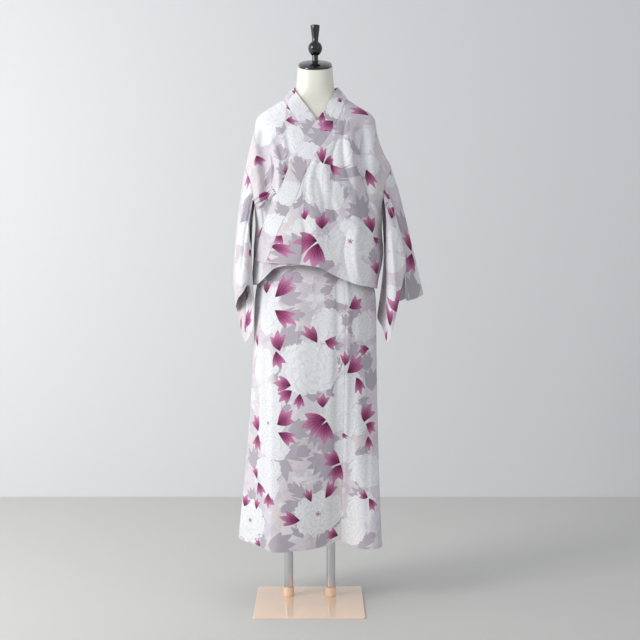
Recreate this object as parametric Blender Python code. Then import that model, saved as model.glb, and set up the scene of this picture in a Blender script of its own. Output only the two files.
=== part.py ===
"""A cotton yukata in two pieces, a crossed jacket over a wrap skirt, on a limbless dress form.

Metres, +Z up. The garment faces -Y and the wearer's left side is at +X. The origin is the centre of the base
plate's underside. Every cloth piece is a thin wall: a grid of points on a smooth surface, thickened to both
sides. The surfaces are stacks of oval sections whose sizes are in the tables below.
"""

import math
from collections import namedtuple

import bmesh
import bpy
import numpy as np

# Cloth and clearances
CLOTH = 0.0012
SEAM_GAP = 0.0002
TOUCH_GAP = 0.0004
OVAL_POWER = 2.3
CENTRE_X = 0.0155
CENTRE_Y = 0.047

# Stand
PLATE_WIDTH = 0.300
PLATE_DEPTH = 0.340
PLATE_THICKNESS = 0.004
PLATE_CORNER = 0.006
PLATE_BEVEL = 0.0008
POLE_SPREAD = 0.0595
POLE_Y = 0.064
POLE_RADIUS = 0.0127
SOCKET_RADIUS = 0.0150
SOCKET_HEIGHT = 0.025
SOCKET_BEVEL = 0.001
ROUND_SIDES = 24

# Dress form
FORM_FOOT_Z = 0.715
FORM_SIDES = 36
NECK_TILT = math.radians(20.0)
NECK_TOP_Z = 1.4935
NECK_LEAN_Z = 1.440
CAP_THICKNESS = 0.005
CAP_DOME = 0.007
CAP_SIDES = 32

Level = namedtuple("Level", "z half_width front back")
FORM_LEVELS = (
    Level(0.715, 0.1420, 0.094, 0.096),
    Level(0.722, 0.1465, 0.099, 0.101),
    Level(0.760, 0.1550, 0.106, 0.109),
    Level(0.820, 0.1590, 0.108, 0.112),
    Level(0.900, 0.1500, 0.100, 0.106),
    Level(0.970, 0.1290, 0.090, 0.093),
    Level(1.030, 0.1140, 0.084, 0.080),
    Level(1.090, 0.1200, 0.096, 0.082),
    Level(1.140, 0.1330, 0.116, 0.087),
    Level(1.180, 0.1400, 0.121, 0.090),
    Level(1.240, 0.1440, 0.104, 0.091),
    Level(1.290, 0.1500, 0.082, 0.084),
    Level(1.325, 0.1530, 0.062, 0.070),
    Level(1.348, 0.1520, 0.050, 0.058),
    Level(1.362, 0.1448, 0.046, 0.052),
    Level(1.381, 0.1145, 0.045, 0.050),
    Level(1.398, 0.0885, 0.048, 0.051),
    Level(1.412, 0.0660, 0.052, 0.056),
    Level(1.430, 0.0545, 0.054, 0.056),
    Level(1.455, 0.0510, 0.053, 0.054),
    Level(1.4935, 0.0480, 0.050, 0.051),
)
FORM_TALL_STEP = 0.040

# Finial, turned: radius at each height
Turn = namedtuple("Turn", "z radius")
FINIAL_TURNS = (
    Turn(1.5068, 0.0096),
    Turn(1.5115, 0.0084),
    Turn(1.5220, 0.0083),
    Turn(1.5250, 0.0118),
    Turn(1.5300, 0.0160),
    Turn(1.5360, 0.0188),
    Turn(1.5420, 0.0198),
    Turn(1.5480, 0.0188),
    Turn(1.5540, 0.0160),
    Turn(1.5585, 0.0118),
    Turn(1.5615, 0.0087),
    Turn(1.5800, 0.0102),
    Turn(1.6000, 0.0128),
    Turn(1.6040, 0.0129),
    Turn(1.6058, 0.0118),
)

# Jacket: oval sections, by height. Above the sleeve seam they end on the shoulder line.
SLEEVE_SEAM_Z = 1.208
NECK_SIDE_Z = 1.4035
JacketLevel = namedtuple("JacketLevel", "z left right front back")
JACKET_LEVELS = (
    JacketLevel(0.840, 0.1790, 0.1690, 0.137, 0.134),
    JacketLevel(0.890, 0.1770, 0.1740, 0.136, 0.130),
    JacketLevel(0.960, 0.1720, 0.1880, 0.134, 0.122),
    JacketLevel(1.040, 0.1700, 0.1900, 0.132, 0.112),
    JacketLevel(1.130, 0.1860, 0.2040, 0.134, 0.103),
    JacketLevel(1.208, 0.1930, 0.2110, 0.128, 0.101),
    JacketLevel(1.248, 0.1860, 0.1920, 0.113, 0.100),
    JacketLevel(1.280, 0.1780, 0.1790, 0.094, 0.095),
    JacketLevel(1.315, 0.1680, 0.1690, 0.075, 0.086),
    JacketLevel(1.349, 0.1605, 0.1605, 0.058, 0.071),
    JacketLevel(1.364, 0.1460, 0.1460, 0.053, 0.064),
    JacketLevel(1.383, 0.1157, 0.1157, 0.052, 0.062),
    JacketLevel(1.400, 0.0897, 0.0897, 0.056, 0.061),
    JacketLevel(1.420, 0.0600, 0.0600, 0.060, 0.062),
)
LAYER_STEP = 0.0048
LAYER_SIDE = 0.178
LAYER_SIDE_FADE = 0.030
LAYER_TOP_Z = 1.385
LAYER_TOP_FADE = 0.050
RIDGE_POWER = 2.2
BODY_GRID = (17, 15)
BACK_HEM_Z = 0.886
NAPE_FADE_Z = 1.370
NAPE_FADE = 0.015
TIP_FADE = 0.07
SHOULDER_POWER = 1.1
SIDE_SPREAD = 0.6
SIDE_JOIN_Z = 1.0
SIDE_JOIN_FADE = 0.02

# Share of the section's half width that the body's side edge reaches: armhole, opening below it, side seam
SideEdge = namedtuple("SideEdge", "z share")
SIDE_EDGES = (
    SideEdge(0.800, 1.000),
    SideEdge(0.985, 1.000),
    SideEdge(1.010, 0.985),
    SideEdge(1.060, 0.955),
    SideEdge(1.130, 0.905),
    SideEdge(1.175, 0.930),
    SideEdge(1.208, 1.000),
)

# Hems of the fronts, by distance from the middle
HemPoint = namedtuple("HemPoint", "x z")
LEFT_FRONT_HEM = (
    HemPoint(-0.160, 0.951),
    HemPoint(-0.029, 0.944),
    HemPoint(0.024, 0.936),
    HemPoint(0.070, 0.913),
    HemPoint(0.124, 0.892),
    HemPoint(0.190, 0.876),
)
RIGHT_FRONT_HEM = (
    HemPoint(-0.165, 0.890),
    HemPoint(-0.145, 0.890),
    HemPoint(-0.131, 0.900),
    HemPoint(-0.093, 0.934),
    HemPoint(-0.037, 0.942),
    HemPoint(0.160, 0.942),
)

# Collar band, from the left front's hem up round the neck and down to the right front's hem. The band is
# sewn on along its seam line, and its other line is the free edge. Where stand is 1, it stands by the neck at
# the depths given; where it is 0, it lies on the front.
CollarPoint = namedtuple("CollarPoint", "seam_x seam_y seam_z edge_x edge_y edge_z stand")
COLLAR_POINTS = (
    CollarPoint(-0.1150, 0.000, 0.9490, -0.1460, 0.000, 0.9540, 0.0),
    CollarPoint(-0.0715, 0.000, 1.0580, -0.1130, 0.000, 1.0770, 0.0),
    CollarPoint(-0.0362, 0.000, 1.1230, -0.0790, 0.000, 1.1430, 0.0),
    CollarPoint(-0.0063, 0.000, 1.2020, -0.0500, 0.000, 1.2160, 0.0),
    CollarPoint(0.0181, 0.000, 1.2427, -0.0260, 0.000, 1.2640, 0.0),
    CollarPoint(0.0469, 0.000, 1.2860, 0.0040, 0.000, 1.3130, 0.0),
    CollarPoint(0.0740, 0.000, 1.3330, 0.0340, 0.000, 1.3570, 0.0),
    CollarPoint(0.0905, 0.000, 1.3720, 0.0590, -0.006, 1.4000, 0.3),
    CollarPoint(0.0992, 0.047, 1.4060, 0.0785, 0.047, 1.4350, 1.0),
    CollarPoint(0.0885, 0.086, 1.4030, 0.0735, 0.080, 1.4370, 1.0),
    CollarPoint(0.0590, 0.106, 1.3950, 0.0500, 0.106, 1.4390, 1.0),
    CollarPoint(0.0155, 0.112, 1.3900, 0.0155, 0.115, 1.4400, 1.0),
    CollarPoint(-0.0280, 0.106, 1.3950, -0.0190, 0.106, 1.4390, 1.0),
    CollarPoint(-0.0575, 0.086, 1.4030, -0.0400, 0.080, 1.4370, 1.0),
    CollarPoint(-0.0682, 0.047, 1.4060, -0.0430, 0.047, 1.4340, 1.0),
    CollarPoint(-0.0550, 0.000, 1.3720, -0.0230, -0.006, 1.3970, 0.3),
    CollarPoint(-0.0310, 0.000, 1.3330, 0.0080, 0.000, 1.3560, 0.0),
    CollarPoint(-0.0080, 0.000, 1.2860, 0.0330, 0.000, 1.3100, 0.0),
    CollarPoint(0.0180, 0.000, 1.2430, 0.0600, 0.000, 1.2640, 0.0),
    CollarPoint(0.0430, 0.000, 1.1900, 0.0870, 0.000, 1.2030, 0.0),
    CollarPoint(0.0600, 0.000, 1.1200, 0.1030, 0.000, 1.1280, 0.0),
    CollarPoint(0.0760, 0.000, 1.0500, 0.1180, 0.000, 1.0550, 0.0),
    CollarPoint(0.0960, 0.000, 0.9400, 0.1350, 0.000, 0.9420, 0.0),
)
COLLAR_ROWS = 70
COLLAR_COLUMNS = 3
OVER_RUN = slice(0, 9)
NAPE = 11
UNDER_RUN = slice(14, 23)
COLLAR_GAP = 0.0008
OKUMI_TIP = 0.010
LEFT_OKUMI_TIP_Z = 1.200
RIGHT_OKUMI_TIP_Z = 1.150
OKUMI_HEM_Z = 0.900
LEFT_OKUMI_SEAM_X = (-0.026, -0.0075)
RIGHT_OKUMI_SEAM_X = (0.036, 0.040)

# Soft folds pressed into the jacket's front and back: a trough (negative depth) or ridge along a slanted line
Fold = namedtuple("Fold", "pieces x_top z_top x_bottom z_bottom width depth")
JACKET_FOLDS = (
    Fold("right", -0.136, 1.345, -0.104, 1.090, 0.016, -0.024),
    Fold("right", -0.151, 1.300, -0.140, 1.110, 0.012, 0.007),
    Fold("left", 0.138, 1.345, 0.150, 1.090, 0.018, -0.020),
    Fold("fronts", 0.060, 1.150, 0.090, 0.880, 0.030, -0.008),
    Fold("fronts", 0.125, 1.120, 0.150, 0.870, 0.026, 0.009),
    Fold("fronts", 0.022, 1.130, 0.014, 0.900, 0.018, 0.005),
    Fold("back", -0.105, 1.330, -0.075, 0.950, 0.020, -0.012),
    Fold("back", 0.135, 1.330, 0.105, 0.950, 0.020, -0.012),
    Fold("back", -0.125, 1.100, -0.130, 0.880, 0.018, 0.008),
    Fold("back", 0.150, 1.100, 0.150, 0.880, 0.020, 0.009),
    Fold("back", 0.045, 1.050, 0.060, 0.880, 0.020, -0.006),
    Fold("back", -0.030, 1.060, -0.035, 0.880, 0.018, -0.005),
)

# Sleeves: where the tube starts at the body, its middle, and its hand opening, station by station around it.
# A station with attach -1 or 1 starts on the front or back edge of the armhole at the height seam_z.
Station = namedtuple("Station", "attach seam_x seam_y seam_z mid_x mid_y mid_z hand_x hand_y hand_z")
RIGHT_SLEEVE = (
    Station(0, -0.1790, 0.047, 1.208, -0.2070, 0.046, 1.000, -0.2055, 0.050, 0.833),
    Station(-1, 0.0, 0.0, 1.172, -0.1985, -0.014, 1.000, -0.1970, -0.014, 0.849),
    Station(-1, 0.0, 0.0, 1.135, -0.1820, -0.046, 0.995, -0.1830, -0.044, 0.866),
    Station(0, -0.1640, -0.036, 1.060, -0.1645, -0.044, 0.965, -0.1640, -0.040, 0.884),
    Station(0, -0.1640, 0.012, 1.000, -0.1620, 0.006, 0.900, -0.1540, 0.000, 0.780),
    Station(0, -0.1640, 0.070, 0.985, -0.1720, 0.040, 0.870, -0.1790, 0.026, 0.729),
    Station(0, -0.1640, 0.122, 1.050, -0.1800, 0.112, 0.930, -0.1970, 0.066, 0.778),
    Station(1, 0.0, 0.0, 1.135, -0.1950, 0.124, 0.985, -0.2050, 0.085, 0.808),
    Station(1, 0.0, 0.0, 1.172, -0.2040, 0.094, 1.000, -0.2080, 0.072, 0.824),
)
LEFT_SLEEVE = (
    Station(0, 0.2275, 0.047, 1.208, 0.2765, 0.056, 1.034, 0.3195, 0.075, 0.860),
    Station(-1, 0.0, 0.0, 1.180, 0.2600, 0.016, 1.020, 0.2920, 0.050, 0.847),
    Station(-1, 0.0, 0.0, 1.155, 0.2480, -0.008, 1.010, 0.2660, 0.012, 0.850),
    Station(-1, 0.0, 0.0, 1.135, 0.2560, -0.034, 1.000, 0.2615, -0.034, 0.925),
    Station(0, 0.2100, -0.032, 1.070, 0.2360, -0.050, 0.970, 0.2440, -0.042, 0.842),
    Station(0, 0.2100, -0.028, 1.000, 0.2160, -0.044, 0.900, 0.2180, -0.034, 0.733),
    Station(0, 0.2100, 0.030, 0.965, 0.2090, 0.020, 0.880, 0.2030, 0.010, 0.768),
    Station(0, 0.2110, 0.120, 1.000, 0.2060, 0.112, 0.900, 0.1930, 0.098, 0.803),
    Station(1, 0.0, 0.0, 1.135, 0.2360, 0.128, 0.990, 0.2460, 0.120, 0.834),
    Station(1, 0.0, 0.0, 1.172, 0.2620, 0.102, 1.020, 0.2930, 0.106, 0.852),
)
SLEEVE_START = 0.0016
SLEEVE_ROWS = 10

# Skirt: sections from the waist to the hip, then stations that run from the hip to the hem
SKIRT_TOP_Z = 1.035
SKIRT_HEM_Z = 0.165
HIP_Z = 0.820
SKIRT_LEVELS = (
    Level(0.100, 0.1655, 0.1140, 0.1185),
    Level(0.820, 0.1655, 0.1140, 0.1185),
    Level(0.900, 0.1565, 0.1065, 0.1125),
    Level(0.990, 0.1275, 0.0915, 0.0920),
    Level(1.035, 0.1154, 0.0856, 0.0816),
    Level(1.060, 0.1154, 0.0856, 0.0816),
)
HEM_FLARE_POWER = 1.6
HemStation = namedtuple("HemStation", "angle x y z")
HEM_STATIONS = (
    HemStation(-180.0, 0.0155, 0.212, 0.172),
    HemStation(-163.0, -0.046, 0.196, 0.169),
    HemStation(-146.0, -0.098, 0.190, 0.172),
    HemStation(-120.0, -0.168, 0.138, 0.169),
    HemStation(-90.0, -0.1985, 0.062, 0.170),
    HemStation(-68.0, -0.160, 0.006, 0.164),
    HemStation(-53.0, -0.130, -0.032, 0.162),
    HemStation(-39.0, -0.104, -0.066, 0.158),
    HemStation(-16.0, -0.045, -0.063, 0.159),
    HemStation(2.0, 0.010, -0.044, 0.162),
    HemStation(14.0, 0.050, -0.021, 0.167),
    HemStation(26.0, 0.085, 0.004, 0.176),
    HemStation(36.0, 0.112, -0.010, 0.168),
    HemStation(50.0, 0.142, -0.036, 0.161),
    HemStation(68.0, 0.174, -0.040, 0.160),
    HemStation(92.0, 0.2015, -0.003, 0.163),
    HemStation(114.0, 0.192, 0.078, 0.168),
    HemStation(133.0, 0.163, 0.150, 0.170),
    HemStation(150.0, 0.116, 0.178, 0.168),
    HemStation(165.0, 0.062, 0.196, 0.171),
)
SKIRT_LAYER = 0.0028
SKIRT_LAYER_FADE = 22.0
SKIRT_ROWS = 15
RIGHT_SIDE_SEAM = 97.0
LEFT_SIDE_SEAM = -94.0
OVER_SEAM = 26.0
OVER_EDGE = -39.0
UNDER_SEAM = -20.0
UNDER_EDGE = 58.0
SKIRT_SEAM_ANGLE = 0.24
SkirtRun = namedtuple("SkirtRun", "start end columns")
SKIRT_RUNS = (
    SkirtRun(-180.0, LEFT_SIDE_SEAM, 9),
    SkirtRun(LEFT_SIDE_SEAM, OVER_EDGE, 7),
    SkirtRun(OVER_EDGE, UNDER_SEAM, 4),
    SkirtRun(UNDER_SEAM, OVER_SEAM, 8),
    SkirtRun(OVER_SEAM, UNDER_EDGE, 6),
    SkirtRun(UNDER_EDGE, RIGHT_SIDE_SEAM, 6),
    SkirtRun(RIGHT_SIDE_SEAM, 180.0, 9),
)
WAISTBAND_Z = (0.990, 1.035)
WAISTBAND_OUT = 0.0050

# Tie at the opening under the right arm
TIE_START = (-0.094, 1.146)
TIE_END = (-0.143, 1.112)
TIE_WIDTH = 0.034
TIE_RIPPLE = 0.0022
TIE_OUT = 0.0046


def remove_everything():
    """Empty the scene."""
    for obj in list(bpy.data.objects):
        bpy.data.objects.remove(obj)


def material(name, colour, roughness, metallic=0.0):
    """A Principled material of one colour."""
    made = bpy.data.materials.new(name)
    made.use_nodes = True
    shader = made.node_tree.nodes["Principled BSDF"]
    shader.inputs["Base Color"].default_value = (*colour, 1.0)
    shader.inputs["Roughness"].default_value = roughness
    shader.inputs["Metallic"].default_value = metallic
    return made


def add_object(name, vertices, faces, finish, sharp_degrees=50.0):
    """A mesh object from arrays of points and faces."""
    mesh = bpy.data.meshes.new(name)
    mesh.from_pydata([tuple(point) for point in vertices], [], [tuple(face) for face in faces])
    mesh.validate()
    mesh.shade_smooth()
    mesh.set_sharp_from_angle(angle=math.radians(sharp_degrees))
    mesh.materials.append(finish)
    obj = bpy.data.objects.new(name, mesh)
    bpy.context.scene.collection.objects.link(obj)
    return obj


def add_from_bmesh(name, shape, finish, location=(0.0, 0.0, 0.0)):
    """A mesh object from a bmesh, placed by its location."""
    mesh = bpy.data.meshes.new(name)
    bmesh.ops.recalc_face_normals(shape, faces=shape.faces)
    shape.to_mesh(mesh)
    shape.free()
    mesh.shade_smooth()
    mesh.set_sharp_from_angle(angle=math.radians(35.0))
    mesh.materials.append(finish)
    obj = bpy.data.objects.new(name, mesh)
    obj.location = location
    bpy.context.scene.collection.objects.link(obj)
    return obj


def slopes(knots, values):
    """Slopes of a smooth curve through the points: the mean of the slopes on both sides, kept monotone."""
    steps = np.diff(values) / np.diff(knots)
    inner = np.where(steps[:-1] * steps[1:] > 0.0, 0.5 * (steps[:-1] + steps[1:]), 0.0)
    limit = 3.0 * np.minimum(np.abs(steps[:-1]), np.abs(steps[1:]))
    inner = np.clip(inner, -limit, limit)
    return np.concatenate(([steps[0]], inner, [steps[-1]]))


def smooth(at, knots, values):
    """Cubic curve through (knots, values), read at the given places and held flat outside them."""
    knots = np.asarray(knots, float)
    values = np.asarray(values, float)
    at = np.clip(np.asarray(at, float), knots[0], knots[-1])
    tangents = slopes(knots, values)
    i = np.clip(np.searchsorted(knots, at, side="right") - 1, 0, len(knots) - 2)
    width = knots[i + 1] - knots[i]
    t = (at - knots[i]) / width
    return (
        (2 * t**3 - 3 * t**2 + 1) * values[i]
        + (t**3 - 2 * t**2 + t) * width * tangents[i]
        + (3 * t**2 - 2 * t**3) * values[i + 1]
        + (t**3 - t**2) * width * tangents[i + 1]
    )


def through(at, knots, rows):
    """Rounded curve through rows of coordinates, with the slope at each point taken from its neighbours."""
    knots = np.asarray(knots, float)
    rows = np.asarray(rows, float)
    tangents = np.gradient(rows, knots, axis=0)
    i = np.clip(np.searchsorted(knots, at, side="right") - 1, 0, len(knots) - 2)
    width = (knots[i + 1] - knots[i])[:, None]
    t = (np.asarray(at, float) - knots[i])[:, None] / width
    return (
        (2 * t**3 - 3 * t**2 + 1) * rows[i]
        + (t**3 - 2 * t**2 + t) * width * tangents[i]
        + (3 * t**2 - 2 * t**3) * rows[i + 1]
        + (t**3 - t**2) * width * tangents[i + 1]
    )


def around(at, knots, rows, period):
    """The same rounded curve, closed on itself after the given period."""
    knots = np.asarray(knots, float)
    rows = np.asarray(rows, float)
    wide_knots = np.concatenate((knots[-3:] - period, knots, knots[:3] + period))
    wide_rows = np.concatenate((rows[-3:], rows, rows[:3]))
    start = knots[0]
    return through(start + np.mod(np.asarray(at, float) - start, period), wide_knots, wide_rows)


def smooth_step(t):
    """0 up to t = 0, 1 from t = 1, and an S curve between."""
    t = np.clip(t, 0.0, 1.0)
    return t * t * (3.0 - 2.0 * t)


def oval_depth(across):
    """Depth share of an oval at a share of its half width."""
    across = np.clip(np.abs(across), 0.0, 1.0)
    return (1.0 - across**OVAL_POWER) ** (1.0 / OVAL_POWER)


def oval_point(angle):
    """Shares (x, y) of an oval's half sizes at an angle in degrees from the front, growing towards +X."""
    turn = np.radians(angle)
    power = 2.0 / OVAL_POWER
    x = np.sign(np.sin(turn)) * np.abs(np.sin(turn)) ** power
    y = -np.sign(np.cos(turn)) * np.abs(np.cos(turn)) ** power
    return x, y


def column(table, name):
    """One named column of a table."""
    return [getattr(row, name) for row in table]


def level_value(table, name, z):
    """One named size of a table of sections, at the given heights."""
    return smooth(z, column(table, "z"), column(table, name))


def grid_normals(points, closed):
    """Unit normals of a grid of points from its two directions."""
    if closed:
        wide = np.concatenate((points[:, -1:], points, points[:, :1]), axis=1)
        along_columns = (wide[:, 2:] - wide[:, :-2])
    else:
        along_columns = np.gradient(points, axis=1)
    along_rows = np.gradient(points, axis=0)
    normals = np.cross(along_rows, along_columns)
    return normals / np.linalg.norm(normals, axis=2, keepdims=True)


def outward_normals(points, closed=False, centre=None):
    """The grid's normals, pointing away from the middle of the body."""
    normals = grid_normals(points, closed)
    middle = np.array([CENTRE_X, CENTRE_Y]) if centre is None else np.asarray(centre)
    outward = (points[..., :2] - middle) * normals[..., :2]
    return normals if outward.sum() > 0.0 else -normals


def moved_out(points, distance, closed=False, centre=None):
    """The grid moved along its normals, away from the middle of the body."""
    return points + outward_normals(points, closed, centre) * np.asarray(distance)[..., None]


def wall(name, points, finish, closed=False, centre=None, normals=None):
    """A cloth wall: the grid thickened by half the cloth to each side, with its rims closed.

    Columns join round to the first where closed is true.
    """
    if normals is None:
        normals = outward_normals(points, closed, centre)
    outer = points + normals * (CLOTH / 2.0)
    inner = points - normals * (CLOTH / 2.0)
    rows, columns = points.shape[:2]
    vertices = np.concatenate((outer.reshape(-1, 3), inner.reshape(-1, 3)))
    shift = rows * columns
    faces = []
    spans = columns if closed else columns - 1
    for r in range(rows - 1):
        for c in range(spans):
            d = (c + 1) % columns
            a, b, e, f = r * columns + c, r * columns + d, (r + 1) * columns + d, (r + 1) * columns + c
            faces.append((a, b, e, f))
            faces.append((shift + f, shift + e, shift + b, shift + a))
    for c in range(spans):
        d = (c + 1) % columns
        top = (rows - 1) * columns
        faces.append((d, c, shift + c, shift + d))
        faces.append((top + c, top + d, shift + top + d, shift + top + c))
    if not closed:
        for r in range(rows - 1):
            a, b = r * columns, (r + 1) * columns
            e = columns - 1
            faces.append((a, b, shift + b, shift + a))
            faces.append((b + e, a + e, shift + a + e, shift + b + e))
    obj = add_object(name, vertices, faces, finish)
    face_outwards(obj.data)
    return obj


def face_outwards(mesh):
    """Turn all faces of a closed mesh to point out."""
    shape = bmesh.new()
    shape.from_mesh(mesh)
    bmesh.ops.recalc_face_normals(shape, faces=shape.faces)
    shape.to_mesh(mesh)
    shape.free()


def loft(name, rings, finish):
    """A closed solid through rings of points, with both ends capped."""
    count, sides = rings.shape[:2]
    faces = []
    for r in range(count - 1):
        for c in range(sides):
            d = (c + 1) % sides
            faces.append((r * sides + c, r * sides + d, (r + 1) * sides + d, (r + 1) * sides + c))
    faces.append(tuple(reversed(range(sides))))
    faces.append(tuple(range((count - 1) * sides, count * sides)))
    obj = add_object(name, rings.reshape(-1, 3), faces, finish)
    face_outwards(obj.data)
    return obj


def turned(name, turns, centre, finish, sides=ROUND_SIDES, foot_tilt=0.0):
    """A solid of revolution about a vertical axis, whose lowest ring may lie on a slope."""
    angles = np.arange(sides) * (2.0 * math.pi / sides)
    radii = np.array(column(turns, "radius"))[:, None]
    heights = np.array(column(turns, "z"))[:, None]
    x = centre[0] + radii * np.cos(angles)
    y = centre[1] + radii * np.sin(angles)
    z = np.array(np.broadcast_to(heights, x.shape))
    z[0] += math.tan(foot_tilt) * (y[0] - centre[1])
    return loft(name, np.stack((x, y, z), axis=2), finish)


def build_base_plate(finish):
    """The steel plate, with rounded corners and a small bevel on its upper edge."""
    shape = bmesh.new()
    bmesh.ops.create_cube(shape, size=1.0)
    bmesh.ops.scale(shape, vec=(PLATE_WIDTH, PLATE_DEPTH, PLATE_THICKNESS), verts=shape.verts)
    corners = [edge for edge in shape.edges if abs(edge.verts[0].co.z - edge.verts[1].co.z) > 0.001]
    bmesh.ops.bevel(shape, geom=corners, offset=PLATE_CORNER, segments=5, affect="EDGES", profile=0.5)
    top = [edge for edge in shape.edges if min(v.co.z for v in edge.verts) > 0.0]
    bmesh.ops.bevel(shape, geom=top, offset=PLATE_BEVEL, segments=1, affect="EDGES")
    return add_from_bmesh("base_plate", shape, finish, (0.0, 0.0, PLATE_THICKNESS / 2.0))


def build_socket(name, x, finish):
    """A tube that stands on the plate and holds a pole."""
    bore = POLE_RADIUS + TOUCH_GAP
    foot = PLATE_THICKNESS + TOUCH_GAP
    outline = (
        (bore, foot),
        (SOCKET_RADIUS, foot),
        (SOCKET_RADIUS, foot + SOCKET_HEIGHT - SOCKET_BEVEL),
        (SOCKET_RADIUS - SOCKET_BEVEL, foot + SOCKET_HEIGHT),
        (bore, foot + SOCKET_HEIGHT),
    )
    angles = np.arange(ROUND_SIDES) * (2.0 * math.pi / ROUND_SIDES)
    rings = np.empty((len(outline), ROUND_SIDES, 3))
    for ring, (radius, z) in zip(rings, outline):
        ring[:, 0] = x + radius * np.cos(angles)
        ring[:, 1] = POLE_Y + radius * np.sin(angles)
        ring[:, 2] = z
    faces = []
    for r in range(len(outline)):
        below = r * ROUND_SIDES
        above = ((r + 1) % len(outline)) * ROUND_SIDES
        for c in range(ROUND_SIDES):
            d = (c + 1) % ROUND_SIDES
            faces.append((below + c, below + d, above + d, above + c))
    obj = add_object(name, rings.reshape(-1, 3), faces, finish)
    face_outwards(obj.data)
    return obj


def build_pole(name, x, finish):
    """A round tube from the plate up to the form's foot, closed at both ends."""
    low = PLATE_THICKNESS + TOUCH_GAP
    high = FORM_FOOT_Z - TOUCH_GAP
    return turned(name, (Turn(low, POLE_RADIUS), Turn(high, POLE_RADIUS)), (x, POLE_Y), finish)


def form_heights():
    """Heights of the form's rings: each level of the table, with one more where two lie far apart."""
    levels = column(FORM_LEVELS, "z")
    heights = []
    for low, high in zip(levels[:-1], levels[1:]):
        heights.append(low)
        if high - low > FORM_TALL_STEP:
            heights.append((low + high) / 2.0)
    return np.array(heights + [levels[-1]])


def oval_ring(table, z, angles):
    """Points of one oval section at each given height."""
    x_share, y_share = oval_point(angles)
    half = level_value(table, "half_width", z)[:, None]
    front = level_value(table, "front", z)[:, None]
    back = level_value(table, "back", z)[:, None]
    x = CENTRE_X + half * x_share
    y = CENTRE_Y + np.where(y_share < 0.0, front, back) * y_share
    return x, y


def build_form(finish):
    """The limbless body with its neck, whose top leans forward."""
    z = form_heights()
    angles = np.arange(FORM_SIDES) * (360.0 / FORM_SIDES)
    x, y = oval_ring(FORM_LEVELS, z, angles)
    lean = smooth_step((z - NECK_LEAN_Z) / (NECK_TOP_Z - NECK_LEAN_Z))[:, None]
    heights = z[:, None] + lean * math.tan(NECK_TILT) * (y - CENTRE_Y)
    return loft("dress_form", np.stack((x, y, heights), axis=2), finish)


def build_cap(finish):
    """The oval cap on the neck's sloping top, with a low dome."""
    angles = np.arange(CAP_SIDES) * (360.0 / CAP_SIDES)
    x_share, y_share = oval_point(angles)
    rows = ((0.930, 0.0), (0.960, 0.002), (0.960, 0.65), (0.930, 1.0))
    dome = ((0.72, 0.55), (0.42, 0.90), (0.25, 1.0))
    top = FORM_LEVELS[-1]
    rings = []
    for share, height in rows:
        rings.append((share, TOUCH_GAP + CAP_THICKNESS * height))
    for share, height in dome:
        rings.append((share, TOUCH_GAP + CAP_THICKNESS + CAP_DOME * height))
    points = []
    for share, height in rings:
        x = CENTRE_X + top.half_width * share * x_share
        y = CENTRE_Y + top.front * share * y_share
        z = NECK_TOP_Z + height + math.tan(NECK_TILT) * (y - CENTRE_Y)
        points.append(np.stack((x, y, z), axis=1))
    return loft("neck_cap", np.array(points), finish)


def jacket_half_width(x, z):
    """Half width of the jacket's section on the side where x lies."""
    left = level_value(JACKET_LEVELS, "left", z)
    right = level_value(JACKET_LEVELS, "right", z)
    return np.where(x < CENTRE_X, left, right)


def fold_shift(x, z, pieces):
    """How far the folds of the named pieces move them outwards at (x, z)."""
    shift = np.zeros(np.broadcast(x, z).shape)
    for fold in JACKET_FOLDS:
        if fold.pieces != pieces and not (fold.pieces == "fronts" and pieces != "back"):
            continue
        down = np.clip((fold.z_top - z) / (fold.z_top - fold.z_bottom), -0.5, 1.5)
        line = fold.x_top + (fold.x_bottom - fold.x_top) * down
        fade = smooth_step((fold.z_top - z) / 0.06) * (1.0 - 0.6 * smooth_step((fold.z_bottom - z) / 0.10))
        shift += fold.depth * fade * np.exp(-(((x - line) / fold.width) ** 2))
    return shift


def jacket_y(x, z, pieces):
    """Depth of the jacket's left or right front, or its back, at (x, z)."""
    face = 1.0 if pieces == "back" else -1.0
    half = jacket_half_width(x, z)
    depth = level_value(JACKET_LEVELS, "back" if pieces == "back" else "front", z)
    share = oval_depth((x - CENTRE_X) / half)
    return CENTRE_Y + face * (depth * share + fold_shift(x, z, pieces) * smooth_step(share * 1.6))


def front_normals(x, z, pieces):
    """Outward unit normals of a front at (x, z), from the slopes of its surface."""
    step = 0.001
    across = (jacket_y(x + step, z, pieces) - jacket_y(x - step, z, pieces)) / (2.0 * step)
    along = (jacket_y(x, z + step, pieces) - jacket_y(x, z - step, pieces)) / (2.0 * step)
    normals = np.stack((across, -1.0 + 0.0 * across, along), axis=2)
    return normals / np.linalg.norm(normals, axis=2, keepdims=True)


def collar_lines(count):
    """Seam and edge of the collar band at evenly spread places, with how far it stands."""
    rows = np.array(COLLAR_POINTS)
    middle = 0.5 * (rows[:, 0:3] + rows[:, 3:6])
    middle[:, 1] = np.where(rows[:, 6] > 0.5, middle[:, 1], -0.06)
    steps = np.linalg.norm(np.diff(middle, axis=0), axis=1)
    knots = np.concatenate(([0.0], np.cumsum(steps)))
    return through(np.linspace(0.0, knots[-1], count), knots, rows)


def collar_seam_x(z, run):
    """Where the collar's seam crosses a height, on one of its two front runs."""
    points = sorted(COLLAR_POINTS[run], key=lambda point: point.seam_z)
    return smooth(z, column(points, "seam_z"), column(points, "seam_x"))


def neck_seam_x(z, side):
    """Where the collar's seam crosses a height behind the neck."""
    order = range(NAPE, 7, -1) if side > 0 else range(NAPE, 15)
    points = [COLLAR_POINTS[i] for i in order]
    gap = SEAM_GAP + (COLLAR_GAP - SEAM_GAP) * smooth_step((z - NAPE_FADE_Z) / NAPE_FADE)
    return side * gap + smooth(z, column(points, "seam_z"), column(points, "seam_x"))


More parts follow.
